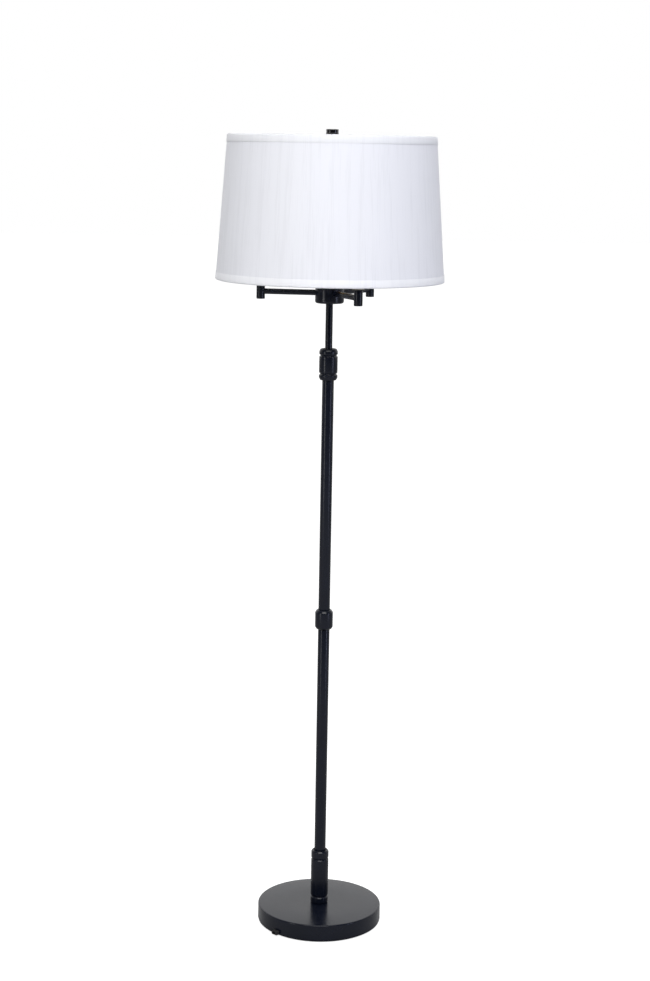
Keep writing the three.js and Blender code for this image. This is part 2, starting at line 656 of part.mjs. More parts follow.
ARM_NAMES.forEach((name, i) => {
  const arm = new THREE.Group();
  arm.position.z = armHeight;
  arm.rotation.z = armDirections[i];
  lamp.add(arm);

  const armStart = hubInner - ARM_ENTRY;
  const armEnd = ARM_REACH - knuckleRadius + KNUCKLE_SOCKET - GAP;
  const armTube = alongX(ring(armRadius - ARM_WALL, armRadius, armStart, armEnd, SMALL));
  add(arm, `arm_tube_${name}`, armTube, blackPaint);

  const nutOuter = Math.sqrt(hubInner ** 2 - armNutCorner ** 2) - GAP;
  const nut = hexNut(armRadius + GAP, ARM_NUT_WALL, nutOuter - ARM_NUT_THICKNESS, ARM_NUT_THICKNESS);
  add(arm, `arm_nut_${name}`, alongX(nut), zincSteel);

  const light = new THREE.Group();
  light.position.x = ARM_REACH;
  arm.add(light);
  const knuckleTop = KNUCKLE_HEIGHT / 2;
  const knuckleProfile = [
    [0, -knuckleTop],
    [knuckleRadius, -knuckleTop, KNUCKLE_EDGE_RADIUS],
    [knuckleRadius, knuckleTop, KNUCKLE_EDGE_RADIUS],
    [0, knuckleTop],
  ];
  const armSeat = alongX(rod(armRadius + GAP, -ARM_REACH, KNUCKLE_SOCKET - knuckleRadius, SMALL));
  const wireWay = rod(CANDLE_STEM_RADIUS + GAP, 0, KNUCKLE_HEIGHT, SMALL);
  add(light, `arm_knuckle_${name}`, cut(revolve(knuckleProfile, SLIM), armSeat, wireWay), blackPaint);

  const stemLow = armRadius + GAP + CANDLE_STEM_CLEARANCE;
  const flangeLow = knuckleTop + GAP;
  const holderTop = flangeLow + CANDLE_SOCKET_HEIGHT;
  const capSeat = CANDLE_CAP_RADIUS + GAP;
  const capBottom = holderTop - CANDLE_CAP_LENGTH + GLASS_WALL;
  const holderProfile = [
    [0, stemLow],
    [CANDLE_STEM_RADIUS, stemLow],
    [CANDLE_STEM_RADIUS, flangeLow],
    [CANDLE_FLANGE_RADIUS, flangeLow],
    [CANDLE_FLANGE_RADIUS, flangeLow + CANDLE_FLANGE],
    [CANDLE_SOCKET_RADIUS, flangeLow + CANDLE_FLANGE],
    [CANDLE_SOCKET_RADIUS, holderTop],
    [capSeat, holderTop],
    [capSeat, capBottom - GAP],
    [0, capBottom - GAP],
  ];
  add(light, `candle_holder_${name}`, revolve(holderProfile, SMALL), phenolic);

  const sleeveFoot = flangeLow + CANDLE_FLANGE + GAP;
  const sleeveInside = CANDLE_SLEEVE_RADIUS - CANDLE_SLEEVE_WALL;
  const tube = ring(sleeveInside, CANDLE_SLEEVE_RADIUS, sleeveFoot, sleeveFoot + CANDLE_SLEEVE_HEIGHT, SMALL);
  add(light, `candle_sleeve_${name}`, tube, whiteCard);

  const glassRadius = CANDLE_BULB_DIAMETER / 2;
  const sideBulb = bulb(
    CANDLE_CAP_RADIUS, CANDLE_CAP_LENGTH, glassRadius, CANDLE_BULB_HEIGHT, CANDLE_BELLY, CANDLE_POINT,
  );
  add(light, `candle_bulb_${name}`, sideBulb.translate(0, 0, capBottom), opalGlass);
});

// ---------------------------------------------------------------- harp
const strap = new THREE.BoxGeometry(2 * SADDLE_HALF_SPAN + SADDLE_WIDTH / 2, SADDLE_WIDTH, SADDLE_THICKNESS);
strap.translate(0, 0, saddleTop - SADDLE_THICKNESS / 2);
const pins = [-1, 1].map((side) =>
  rod(WIRE_RADIUS, saddleTop - SADDLE_THICKNESS / 2, saddleTop + SADDLE_PIN_HEIGHT, WIRE_SIDES)
    .translate(side * SADDLE_HALF_SPAN, 0, 0));
const strapHole = rod(NIPPLE_RADIUS + GAP, socketBottom - SADDLE_WIDTH, socketBottom, SMALL);
add(lamp, 'harp_saddle', cut(join(strap, ...pins), strapHole), brass);

const legLow = saddleTop + SADDLE_PIN_HEIGHT + GAP;
const ferruleLow = legLow - FERRULE_LENGTH / 2;
const legTop = ferruleLow + FERRULE_LENGTH + 2 * WIRE_RADIUS;
const legs = [-1, 1].map((side) =>
  rod(WIRE_RADIUS, legLow, legTop, WIRE_SIDES).translate(side * SADDLE_HALF_SPAN, 0, 0));
const wireTop = seatHeight - SEAT_THICKNESS;
const bowLow = legTop - WIRE_RADIUS;
const bulgeHeight = bowLow + (wireTop - bowLow) * HARP_BULGE_SHARE;
const bow = new THREE.CurvePath();
const bowPoint = (x, z) => new THREE.Vector3(x, 0, z);
bow.add(new THREE.CubicBezierCurve3(
  bowPoint(-SADDLE_HALF_SPAN, bowLow),
  bowPoint(-HARP_BULGE, bulgeHeight),
  bowPoint(-HARP_SHOULDER, wireTop),
  bowPoint(0, wireTop),
));
bow.add(new THREE.CubicBezierCurve3(
  bowPoint(0, wireTop),
  bowPoint(HARP_SHOULDER, wireTop),
  bowPoint(HARP_BULGE, bulgeHeight),
  bowPoint(SADDLE_HALF_SPAN, bowLow),
));
const seat = rod(SEAT_RADIUS, wireTop - WIRE_RADIUS / 2, seatHeight, SMALL);
const stud = rod(STUD_RADIUS, wireTop, seatHeight + STUD_HEIGHT, SMALL);
add(lamp, 'harp', join(wire(bow, WIRE_RADIUS, HARP_STEPS), ...legs, seat, stud), brass);

['left', 'right'].forEach((name, i) => {
  const ferrule = ring(wireSeat, wireSeat + FERRULE_WALL, ferruleLow, ferruleLow + FERRULE_LENGTH, SMALL);
  add(lamp, `harp_ferrule_${name}`, ferrule.translate((2 * i - 1) * SADDLE_HALF_SPAN, 0, 0), brass);
});

// ---------------------------------------------------------------- main light
const socketCapTop = socketBottom + SOCKET_CAP_HEIGHT;
const socketInner = SOCKET_RADIUS - SOCKET_WALL;
const shoulder = socketBottom + SOCKET_CAP_HEIGHT / 2;
const socketCapProfile = [
  [NIPPLE_RADIUS + GAP, socketBottom],
  [SOCKET_NECK_RADIUS, socketBottom],
  [SOCKET_NECK_RADIUS, socketBottom + SADDLE_THICKNESS],
  [SOCKET_RADIUS, shoulder, SOCKET_WALL],
  [SOCKET_RADIUS, socketCapTop],
  [socketInner, socketCapTop],
  [socketInner, shoulder + SOCKET_WALL],
  [NIPPLE_RADIUS + GAP, socketBottom + SADDLE_THICKNESS + SOCKET_WALL],
];
add(lamp, 'socket_cap', revolve(socketCapProfile, SLIM), brass);

const shellTop = shellBottom + SOCKET_SHELL_HEIGHT;
const mainShaftHeight = shellBottom + MAIN_SWITCH_HEIGHT;
const mainDirection = THREE.MathUtils.degToRad(MAIN_SWITCH_DIRECTION);
const shaftTip = SOCKET_RADIUS + SWITCH_SHAFT_SHOWING;
const shaftWay = alongX(rod(SWITCH_SHAFT_RADIUS + GAP, CORE_RADIUS / 2, SOCKET_RADIUS * 2, SMALL));
shaftWay.rotateZ(mainDirection).translate(0, 0, mainShaftHeight);
const shell = ring(socketInner, SOCKET_RADIUS, shellBottom, shellTop, SLIM);
add(lamp, 'socket_shell', cut(shell, shaftWay), brass);

const coreTop = shellTop - CORE_RECESS;
const coreSeat = coreTop - CAP_SEAT_DEPTH;
const coreProfile = [
  [0, shellBottom],
  [CORE_RADIUS, shellBottom],
  [CORE_RADIUS, coreTop],
  [BULB_CAP_RADIUS + GAP, coreTop],
  [BULB_CAP_RADIUS + GAP, coreSeat],
  [0, coreSeat],
];
const shaft = alongX(rod(SWITCH_SHAFT_RADIUS, CORE_RADIUS / 2, shaftTip, SMALL));
shaft.rotateZ(mainDirection).translate(0, 0, mainShaftHeight);
add(lamp, 'socket_core', join(revolve(coreProfile, SLIM), shaft), phenolic);

const mainKnob = knob(SOCKET_RADIUS + RUNNING_GAP * 2, shaftTip);
mainKnob.rotateZ(mainDirection).translate(0, 0, mainShaftHeight);
add(lamp, 'main_switch_knob', mainKnob, glossBlack);

const mainBulb = bulb(
  BULB_CAP_RADIUS, BULB_CAP_LENGTH, BULB_DIAMETER / 2, BULB_HEIGHT, BULB_BELLY, BULB_POINT,
);
add(lamp, 'main_bulb', mainBulb.translate(0, 0, coreSeat + GAP), opalGlass);

// ---------------------------------------------------------------- shade
// Outer radius of the shade's trim at a height between its two rims.
function shadeRadius(height) {
  const share = (height - shadeBottom) / SHADE_HEIGHT;
  return THREE.MathUtils.lerp(SHADE_BOTTOM_DIAMETER / 2, SHADE_TOP_DIAMETER / 2, share);
}

// A band of the drum between two heights, set in from the outer surface and of a given thickness.
function drumBand(low, high, inset, thickness) {
  return revolve([
    [shadeRadius(low) - inset - thickness, low],
    [shadeRadius(low) - inset, low],
    [shadeRadius(high) - inset, high],
    [shadeRadius(high) - inset - thickness, high],
  ], WIDE);
}
const drumInset = TRIM_THICKNESS + GAP;
add(lamp, 'shade_drum', drumBand(shadeBottom, shadeTop, drumInset, SHADE_WALL), linen);
add(lamp, 'bottom_trim', drumBand(shadeBottom, shadeBottom + TRIM_WIDTH, 0, TRIM_THICKNESS), linenTrim);
add(lamp, 'top_trim', drumBand(shadeTop - TRIM_WIDTH, shadeTop, 0, TRIM_THICKNESS), linenTrim);

const hoopInset = drumInset + SHADE_WALL + GAP + HOOP_WIRE_RADIUS;
const hoopRise = 2 * HOOP_WIRE_RADIUS;
const lowHoopHeight = shadeBottom + hoopRise;
const lowHoopRadius = shadeRadius(lowHoopHeight) - hoopInset;
const lowHoop = new THREE.TorusGeometry(lowHoopRadius, HOOP_WIRE_RADIUS, WIRE_SIDES, WIDE);
add(lamp, 'bottom_hoop', lowHoop.translate(0, 0, lowHoopHeight), zincSteel);

const topHoopHeight = shadeTop - hoopRise;
const topHoopRadius = shadeRadius(topHoopHeight) - hoopInset - GAP;
const topHoop = new THREE.TorusGeometry(topHoopRadius, HOOP_WIRE_RADIUS, WIRE_SIDES, WIDE);
topHoop.translate(0, 0, topHoopHeight);
const washerBottom = seatHeight + GAP;
const washerHigh = washerBottom + SPIDER_WASHER_THICKNESS;
const washer = ring(STUD_RADIUS + RUNNING_GAP, SPIDER_WASHER_RADIUS, washerBottom, washerHigh, SLIM);
const spokeLow = washerBottom + HOOP_WIRE_RADIUS;
const spokes = Array.from({ length: SPOKE_COUNT }, (_, i) => {
  const path = new THREE.CubicBezierCurve3(
    new THREE.Vector3(SPIDER_WASHER_RADIUS * SPOKE_START, 0, spokeLow),
    new THREE.Vector3(topHoopRadius * SPOKE_FLAT, 0, spokeLow),
    new THREE.Vector3(topHoopRadius * SPOKE_RISE, 0, topHoopHeight),
    new THREE.Vector3(topHoopRadius, 0, topHoopHeight),
  );
  const turn = THREE.MathUtils.degToRad(SPOKE_FIRST_DIRECTION + i * 360 / SPOKE_COUNT);
  return wire(path, HOOP_WIRE_RADIUS, SPOKE_STEPS).rotateZ(turn);
});
add(lamp, 'shade_spider', join(topHoop, washer, ...spokes), brass);

// ---------------------------------------------------------------- finial
const finialLow = washerHigh + GAP;
const drumLow = finialLow + FINIAL_NECK_HEIGHT;
const finialTop = drumLow + FINIAL_DRUM_HEIGHT;
const finialRadius = FINIAL_DIAMETER / 2;
const finialBore = STUD_RADIUS + RUNNING_GAP;
const finialBoreTop = seatHeight + STUD_HEIGHT + GAP;
const finialProfile = [
  [0, finialBoreTop],
  [finialBore, finialBoreTop],
  [finialBore, finialLow],
  [FINIAL_NECK_RADIUS, finialLow],
  [FINIAL_NECK_RADIUS, drumLow],
  [finialRadius, drumLow, FINIAL_EDGE_RADIUS],
  [finialRadius, finialTop, FINIAL_EDGE_RADIUS],
  [0, finialTop],
];
add(lamp, 'finial', revolve(finialProfile, ROUND), glossBlack);

export default lamp;
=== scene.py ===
"""A black floor lamp with a white drum shade and three side lights round its main one.

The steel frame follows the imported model. The turned, spun and wired pieces are modelled finely here,
and the shade is made as its maker makes it: a styrene liner, a slub fabric, wire hoops and folded trim.
"""

import math

import bpy
from mathutils import Matrix, Vector, noise


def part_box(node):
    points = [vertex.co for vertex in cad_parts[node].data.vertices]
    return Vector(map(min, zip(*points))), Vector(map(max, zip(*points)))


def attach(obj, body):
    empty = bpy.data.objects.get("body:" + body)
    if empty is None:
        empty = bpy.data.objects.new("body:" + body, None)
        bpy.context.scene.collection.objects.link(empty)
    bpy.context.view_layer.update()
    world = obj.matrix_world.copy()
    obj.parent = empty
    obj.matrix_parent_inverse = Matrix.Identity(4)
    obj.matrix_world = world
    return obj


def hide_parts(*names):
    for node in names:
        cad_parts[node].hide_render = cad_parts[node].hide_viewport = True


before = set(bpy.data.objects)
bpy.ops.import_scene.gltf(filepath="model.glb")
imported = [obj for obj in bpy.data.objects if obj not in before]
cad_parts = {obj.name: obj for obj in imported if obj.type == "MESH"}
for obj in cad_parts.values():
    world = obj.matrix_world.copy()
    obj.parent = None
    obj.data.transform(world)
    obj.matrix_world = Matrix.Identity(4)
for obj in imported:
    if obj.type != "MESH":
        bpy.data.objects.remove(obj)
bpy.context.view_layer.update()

MM = 0.001
FINE = 128                      # sides of the base and the shade
ROUND = 64                      # sides of collars, tubes and fittings
SLIM = 32                       # sides of small fittings
GAP = 0.3 * MM                  # the clearance that touching pieces keep

# ------------------------------------------------------------------ camera
# A long lens at eye level, tipped down a little, so the pole tapers gently towards the floor.
CAMERA_PLACE = (0.026, -3.75, 1.585)
CAMERA_LENS = 69.7
CAMERA_PITCH = 10.23
CAMERA_YAW = 0.434
CAMERA_ROLL = 0.99


def add_camera():
    turn = (
        Matrix.Rotation(math.radians(CAMERA_YAW), 4, "Z")
        @ Matrix.Rotation(math.radians(90 - CAMERA_PITCH), 4, "X")
        @ Matrix.Rotation(math.radians(CAMERA_ROLL), 4, "Z")
    )
    bpy.ops.object.camera_add(location=CAMERA_PLACE, rotation=turn.to_euler())
    camera = bpy.context.object
    camera.data.lens = CAMERA_LENS
    camera.data.sensor_width = 36
    camera.data.clip_end = 200
    bpy.context.scene.camera = camera


# ------------------------------------------------------------------ modelling by hand
def only(piece):
    """Selects one object and makes it the active one."""
    bpy.ops.object.select_all(action="DESELECT")
    piece.select_set(True)
    bpy.context.view_layer.objects.active = piece


def settle(piece):
    """Moves the piece's place, turn and scale into its mesh."""
    only(piece)
    bpy.ops.object.transform_apply(location=True, rotation=True, scale=True)
    return piece


def started(name):
    """Names the primitive just added and settles it."""
    piece = bpy.context.object
    piece.name = name
    return settle(piece)


def apply_modifier(piece, modifier):
    only(piece)
    bpy.ops.object.modifier_apply(modifier=modifier.name)
    return piece


def soften(piece, width, segments=3, angle=28):
    """Rounds every edge sharper than the angle, as a wheel or a tumbler would."""
    bevel = piece.modifiers.new("edges", "BEVEL")
    bevel.width = width
    bevel.segments = segments
    bevel.limit_method = "ANGLE"
    bevel.angle_limit = math.radians(angle)
    return apply_modifier(piece, bevel)


def smooth(piece, angle=32):
    only(piece)
    bpy.ops.object.shade_smooth_by_angle(angle=math.radians(angle))
    return piece


def outward():
    """In edit mode: welds doubles, then turns every face outwards."""
    bpy.ops.mesh.select_all(action="SELECT")
    bpy.ops.mesh.remove_doubles(threshold=1e-6)
    bpy.ops.mesh.normals_make_consistent(inside=False)


def turned(name, steps, at=(0, 0), sides=ROUND, bevel=0.0, open_ring=False):
    """Turns a piece from (radius, height) steps: a circle, extruded and scaled from step to step.

    A ring's last step joins back to its first. Otherwise both ends are closed with a face.
    """
    steps = list(steps)
    radius, height = steps[0]
    bpy.ops.object.select_all(action="DESELECT")
    bpy.ops.mesh.primitive_circle_add(vertices=sides, radius=radius, location=(*at, height))
    piece = started(name)
    bpy.ops.object.mode_set(mode="EDIT")
    bpy.ops.mesh.select_all(action="SELECT")
    for next_radius, next_height in steps[1:]:
        rise = {"value": (0, 0, next_height - height)}
        bpy.ops.mesh.extrude_region_move(TRANSFORM_OT_translate=rise)
        scale = next_radius / radius
        if scale != 1:
            bpy.ops.transform.resize(value=(scale, scale, 1), center_override=(*at, next_height))
        radius, height = next_radius, next_height
    bpy.ops.mesh.select_all(action="DESELECT")
    bpy.ops.mesh.select_mode(type="EDGE")
    bpy.ops.mesh.select_non_manifold()
    if open_ring:
        bpy.ops.mesh.bridge_edge_loops()
    else:
        bpy.ops.mesh.fill_holes(sides=0)
    outward()
    bpy.ops.object.mode_set(mode="OBJECT")
    if bevel:
        soften(piece, bevel)
    return smooth(piece)


def arc(centre, radius, start, end, steps):
    """Points of an arc in (radius, height), from one angle to another in degrees."""
    spread = [math.radians(start + (end - start) * i / steps) for i in range(steps + 1)]
    return [(centre[0] + radius * math.cos(a), centre[1] + radius * math.sin(a)) for a in spread]


def tube(name, bore, radius, low, high, at=(0, 0), sides=ROUND, bevel=0.3 * MM):
    """A plain tube or ring with softened ends."""
    steps = [(bore, low), (radius, low), (radius, high), (bore, high)]
    return turned(name, steps, at, sides, bevel, open_ring=True)


def cut_away(piece, *cutters):
    """Cuts the cutters out of the piece and removes them."""
    for cutter in cutters:
        cut = piece.modifiers.new("cut", "BOOLEAN")
        cut.operation = "DIFFERENCE"
        cut.solver = "EXACT"
        cut.object = cutter
        apply_modifier(piece, cut)
        bpy.data.objects.remove(cutter)
    return smooth(piece)


def weld(name, *pieces):
    """Joins finished pieces into one object, each a shell of its own."""
    only(pieces[0])
    for piece in pieces[1:]:
        piece.select_set(True)
    bpy.ops.object.join()
    pieces[0].name = name
    return pieces[0]


def lay(piece, direction, height):
    """Tips a piece made along Z down onto the horizontal, pointing in a direction, at a height."""
    turn = Matrix.Rotation(direction, 4, "Z") @ Matrix.Rotation(math.radians(90), 4, "Y")
    piece.matrix_world = Matrix.Translation((0, 0, height)) @ turn
    return settle(piece)


def wire(name, points, radius, handles="AUTO", sides=4, closed=False):
    """A round wire along a bezier curve through the points, made a mesh."""
    bpy.ops.object.select_all(action="DESELECT")
    bpy.ops.curve.primitive_bezier_curve_add(location=(0, 0, 0))
    curve = bpy.context.object
    curve.name = name
    spline = curve.data.splines[0]
    spline.bezier_points.add(len(points) - len(spline.bezier_points))
    for knot, point in zip(spline.bezier_points, points):
        knot.co = point
        knot.handle_left_type = knot.handle_right_type = handles
    spline.use_cyclic_u = closed
    curve.data.resolution_u = 16
    curve.data.bevel_depth = radius
    curve.data.bevel_resolution = sides
    curve.data.use_fill_caps = not closed
    only(curve)
    bpy.ops.object.convert(target="MESH")
    piece = settle(bpy.context.object)
    bpy.ops.object.mode_set(mode="EDIT")
    outward()
    bpy.ops.object.mode_set(mode="OBJECT")
    return smooth(piece, 50)


def copies(pattern, *places):
    """Copies a finished pattern to each place, every copy with its own mesh, and removes the pattern."""
    made = []
    for place in places:
        twin = pattern.copy()
        twin.data = pattern.data.copy()
        bpy.context.collection.objects.link(twin)
        twin.matrix_world = place
        made.append(settle(twin))
    bpy.data.objects.remove(pattern)
    return made


def turn_about_pole(angle):
    return Matrix.Rotation(angle, 4, "Z")


def fit(piece, body, *nodes, material, slot):
    """Puts a finished piece on its body, in place of the CAD nodes that it stands for, and dresses it."""
    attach(piece, body)
    if nodes:
        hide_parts(*nodes)
    piece.data.materials.clear()
    piece.data.materials.append(material)


# ------------------------------------------------------------------ materials
def linear(hex_colour):
    """An sRGB hex colour as the linear colour that shaders take."""
    channels = [int(hex_colour[i:i + 2], 16) / 255 for i in (0, 2, 4)]
    return (*[c / 12.92 if c <= 0.04045 else ((c + 0.055) / 1.055) ** 2.4 for c in channels], 1)


def node(material, kind, links=None, stops=(), **settings):
    """Adds one node. Settings name its properties or its sockets, and links join sockets to outputs.

    Stops are a colour ramp's positions with their hex colours.
    """
    made = material.node_tree.nodes.new(kind)
    for key, value in settings.items():
        if hasattr(made, key):
            setattr(made, key, value)
        else:
            made.inputs[key.replace("_", " ")].default_value = value
    for socket, output in (links or {}).items():
        material.node_tree.links.new(output, made.inputs[socket])
    for i, (position, colour) in enumerate(stops):
        made.color_ramp.elements[i].position = position
        made.color_ramp.elements[i].color = linear(colour)
    return made


GRAIN_LOW, GRAIN_HIGH = 0.35, 0.65      # the part of a noise's 0 to 1 that most of it falls in


def surface(name, colour=None, rough=None, relief=None, stretch=(1, 1, 1), **settings):
    """A material whose patterns lie on Object coordinates. Settings go straight to its shader's sockets.

    Colour is (grain size, detail, dark, light), rough is (grain size, detail, low, high) and relief is
    (grain size, detail, height, strength). Sizes and heights are in metres.
    """
    material = bpy.data.materials.new(name)
    material.use_nodes = True
    shader = material.node_tree.nodes["Principled BSDF"]
    for key, value in settings.items():
        shader.inputs[key.replace("_", " ")].default_value = value
    spot = node(material, "ShaderNodeTexCoord").outputs["Object"]
    place = node(material, "ShaderNodeMapping", {"Vector": spot}, Scale=stretch).outputs["Vector"]
    for socket, layer in {"Base Color": colour, "Roughness": rough, "Normal": relief}.items():
        if not layer:
            continue
        size, detail, low, high = layer
        noisy = node(material, "ShaderNodeTexNoise", {"Vector": place}, Scale=1 / size, Detail=detail)
        grain = noisy.outputs["Fac"]
        if layer is colour:
            stops = ((GRAIN_LOW, low), (GRAIN_HIGH, high))
            made = node(material, "ShaderNodeValToRGB", {"Fac": grain}, stops)
        elif layer is rough:
            made = node(material, "ShaderNodeMapRange", {"Value": grain}, From_Min=GRAIN_LOW,
                        From_Max=GRAIN_HIGH, To_Min=low, To_Max=high)
        else:
            made = node(material, "ShaderNodeBump", {"Height": grain}, Distance=low, Strength=high)
        material.node_tree.links.new(made.outputs[0], shader.inputs[socket])
    return material


def plated_metal(name, dark, light, rough_low, rough_high, grain=0.8 * MM):
    """Metal with a thin bright skin: tiny pits, and a tone that clouds where it was handled.

    The pits are drawn several times as coarse as real ones, so that they show.
    """
    return surface(name, (25 * MM, 4, dark, light), (grain, 4, rough_low, rough_high),
                   (grain, 4, 0.004 * MM, 0.3), Metallic=1.0)


def moulded(name, dark, light, rough, grain=0.9 * MM, ior=1.49):
    """Moulded plastic or rubber: even colour and the spark-eroded texture of its mould, drawn coarse."""
    return surface(name, (30 * MM, 3, dark, light), (grain, 2, rough - 0.06, rough + 0.06),
                   (grain, 2, 0.03 * MM, 0.6), IOR=ior)


def slub_cloth(name, dark, light, slub_strength):
    """Slub weave of bright polyester yarn: fat places in the warp run up the shade as fine streaks.

    The warp runs along the map's v. A slub is 1 to 2 mm wide and 40 to 120 mm long, and broader soft
    waves lie between. The plain threads, 0.25 mm apart, are drawn about 1 mm apart so that they show.
    """
    made = surface(name, Roughness=0.62, Sheen_Weight=0.15, Sheen_Roughness=0.4, IOR=1.46)
    shader = made.node_tree.nodes["Principled BSDF"]
    laid = node(made, "ShaderNodeUVMap", uv_map="cloth").outputs["UV"]
    streaks = []
    for width, length, detail, offset in ((1.6 * MM, 60 * MM, 2.0, 3.1), (9 * MM, 260 * MM, 1.0, 7.7)):
        moved = node(made, "ShaderNodeMapping", {"Vector": laid}, Scale=(1 / width, 1 / length, 1),
                     Location=(offset, 0, offset))
        streak = node(made, "ShaderNodeTexNoise", {"Vector": moved.outputs[0]}, Scale=1.0, Detail=detail)
        streaks.append(streak.outputs["Fac"])
    both = node(made, "ShaderNodeMath", {0: streaks[0], 1: streaks[1]}, operation="ADD").outputs[0]
    tone = node(made, "ShaderNodeValToRGB", {"Fac": both}, ((0.78, dark), (1.0, light)))
    made.node_tree.links.new(tone.outputs["Color"], shader.inputs["Base Color"])
    threads = []
    for axis, across in (("X", (1 / MM, 0, 0)), ("Y", (0, 1 / MM, 0))):
        moved = node(made, "ShaderNodeMapping", {"Vector": laid}, Scale=across)
        band = node(made, "ShaderNodeTexWave", {"Vector": moved.outputs[0]}, bands_direction=axis,
                    Scale=0.31, Distortion=0.8)
        threads.append(band.outputs["Fac"])
    weave = node(made, "ShaderNodeMath", {0: threads[0], 1: threads[1]}, operation="ADD").outputs[0]
    fine = node(made, "ShaderNodeBump", {"Height": weave}, Distance=0.04 * MM, Strength=0.35)
    raised = node(made, "ShaderNodeBump", {"Height": streaks[0], "Normal": fine.outputs["Normal"]},
                  Distance=0.15 * MM, Strength=slub_strength)
    made.node_tree.links.new(raised.outputs["Normal"], shader.inputs["Normal"])
    through = node(made, "ShaderNodeBsdfTranslucent", Color=linear(light))
    mixed = node(made, "ShaderNodeMixShader", {1: shader.outputs[0], 2: through.outputs[0]}, Fac=0.12)
    out = made.node_tree.nodes["Material Output"]
    made.node_tree.links.new(mixed.outputs[0], out.inputs["Surface"])
    return made


# Black polyester powder coat, sprayed on steel and baked: satin, with a faint orange peel. The peel is
# drawn about twice as coarse as the real one, so that it shows at all.
POWDER = surface("black_powder_coat", (60 * MM, 2, "0b0f1a", "0e121e"), (14 * MM, 5, 0.2, 0.26),
                 (1.6 * MM, 2, 0.01 * MM, 0.4), Specular_IOR_Level=0.26)
# Black enamel, dipped and polished: nearly a mirror, with a little dust in it.
ENAMEL = surface("gloss_black_enamel", None, (3 * MM, 4, 0.08, 0.16), (5 * MM, 2, 0.01 * MM, 0.3),
                 Base_Color=linear("0b0b0d"), IOR=1.5, Coat_Weight=0.6)
ZINC = plated_metal("zinc_plated_steel", "8b8f92", "a7aaac", 0.3, 0.5)
BRASS = plated_metal("lacquered_brass", "b08c48", "bd9852", 0.22, 0.27, 5 * MM)
ALUMINIUM = plated_metal("rolled_aluminium", "b4b6b8", "c8cacb", 0.28, 0.42)
# Sand-cast grey iron: a coarse dark skin with the sand's grain pressed into it.
IRON = surface("sand_cast_iron", (12 * MM, 5, "2b2a29", "474543"), (1.4 * MM, 5, 0.65, 0.9),
               (1.4 * MM, 5, 0.3 * MM, 1.0), Metallic=0.6)
NYLON = moulded("moulded_nylon", "c9c6bd", "d6d3ca", 0.5, ior=1.53)
PHENOLIC = moulded("moulded_phenolic", "17110e", "221a15", 0.38, ior=1.63)
RUBBER = moulded("moulded_rubber", "0e0e0f", "171718", 0.78, ior=1.52)
CANDLE = moulded("candle_sleeve_card", "e2ddd0", "ebe7db", 0.55)
LINER = moulded("styrene_liner", "ecebe8", "efeeeb", 0.5, ior=1.59)
# Pressed felt: short fibres lying every way, matted flat where it meets the floor.
FELT = surface("pressed_felt", (2.2 * MM, 8, "1b1b1c", "303032"), None, (2.2 * MM, 8, 0.4 * MM, 1.0),
               stretch=(1, 3, 1), Roughness=0.95, Sheen_Weight=0.5, Sheen_Roughness=0.6)
# Blown glass with a white silica coat inside: milky and smooth, with a bright clear skin.
OPAL = surface("opal_glass", (18 * MM, 3, "f5f3ed", "faf9f5"), None, (9 * MM, 2, 0.05 * MM, 0.3),
               IOR=1.52, Roughness=0.12, Coat_Weight=0.5, Subsurface_Weight=0.4,
               Subsurface_Scale=0.004, Subsurface_Radius=(1, 0.9, 0.8))
CLOTH = slub_cloth("slub_shade_cloth", "e4e5eb", "e9eaf0", 0.3)
TRIM = slub_cloth("folded_trim_cloth", "ebecf1", "eff0f4", 0.1)

# Nodes that stay as they are, inside the lamp or hardly seen, and what each is made of.
KEPT = {
    ZINC: ["stem_washer", "threaded_stem", "pole_plug", "tube_coupling", "slide_nut", "cap_nut",
           "centre_nipple", "arm_nut_left", "arm_nut_front", "arm_nut_back"],
    IRON: ["base_weight"],
    NYLON: ["lock_collet", "slide_foot"],
    PHENOLIC: ["side_switch"],
}


def dress_kept_nodes():
    for material, names in KEPT.items():
        for name in names:
            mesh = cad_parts[name].data
            mesh.materials.clear()
            mesh.materials.append(material)


SHAFT_HOLE = 2.8 * MM           # the bore of a knob, and the way for its shaft in the hub
NIPPLE_BORE = 5.3 * MM          # the bore of what stacks on the centre nipple
MAIN_SHAFT_TURN = math.radians(270)
SIDE_SHAFT_TURN = -math.pi / 3  # from the left arm to the side switch's shaft

# ------------------------------------------------------------------ base
BASE_WALL = 1.2 * MM
BASE_EDGE = 2.6 * MM
BUSHING_DIRECTION = math.radians(228)
BUSHING_STANDOFF = 8 * MM


def bushing_block(name, grow):
    """A block the size of the cord bushing, grown a little to cut its way through the rim."""
    low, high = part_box("cord_bushing")
    length, width = 24 * MM, 15 * MM
    bpy.ops.object.select_all(action="DESELECT")
    bpy.ops.mesh.primitive_cube_add(size=1)
    block = bpy.context.object
    block.scale = (length, width + 2 * grow, high.z - low.z + 2 * grow)
    block.name = name
    settle(block)
    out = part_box("base_cover")[1].x + BUSHING_STANDOFF - length / 2
    turn = Matrix.Rotation(BUSHING_DIRECTION, 4, "Z")
    block.matrix_world = turn @ Matrix.Translation((out, 0, (low.z + high.z) / 2))
    return settle(block)


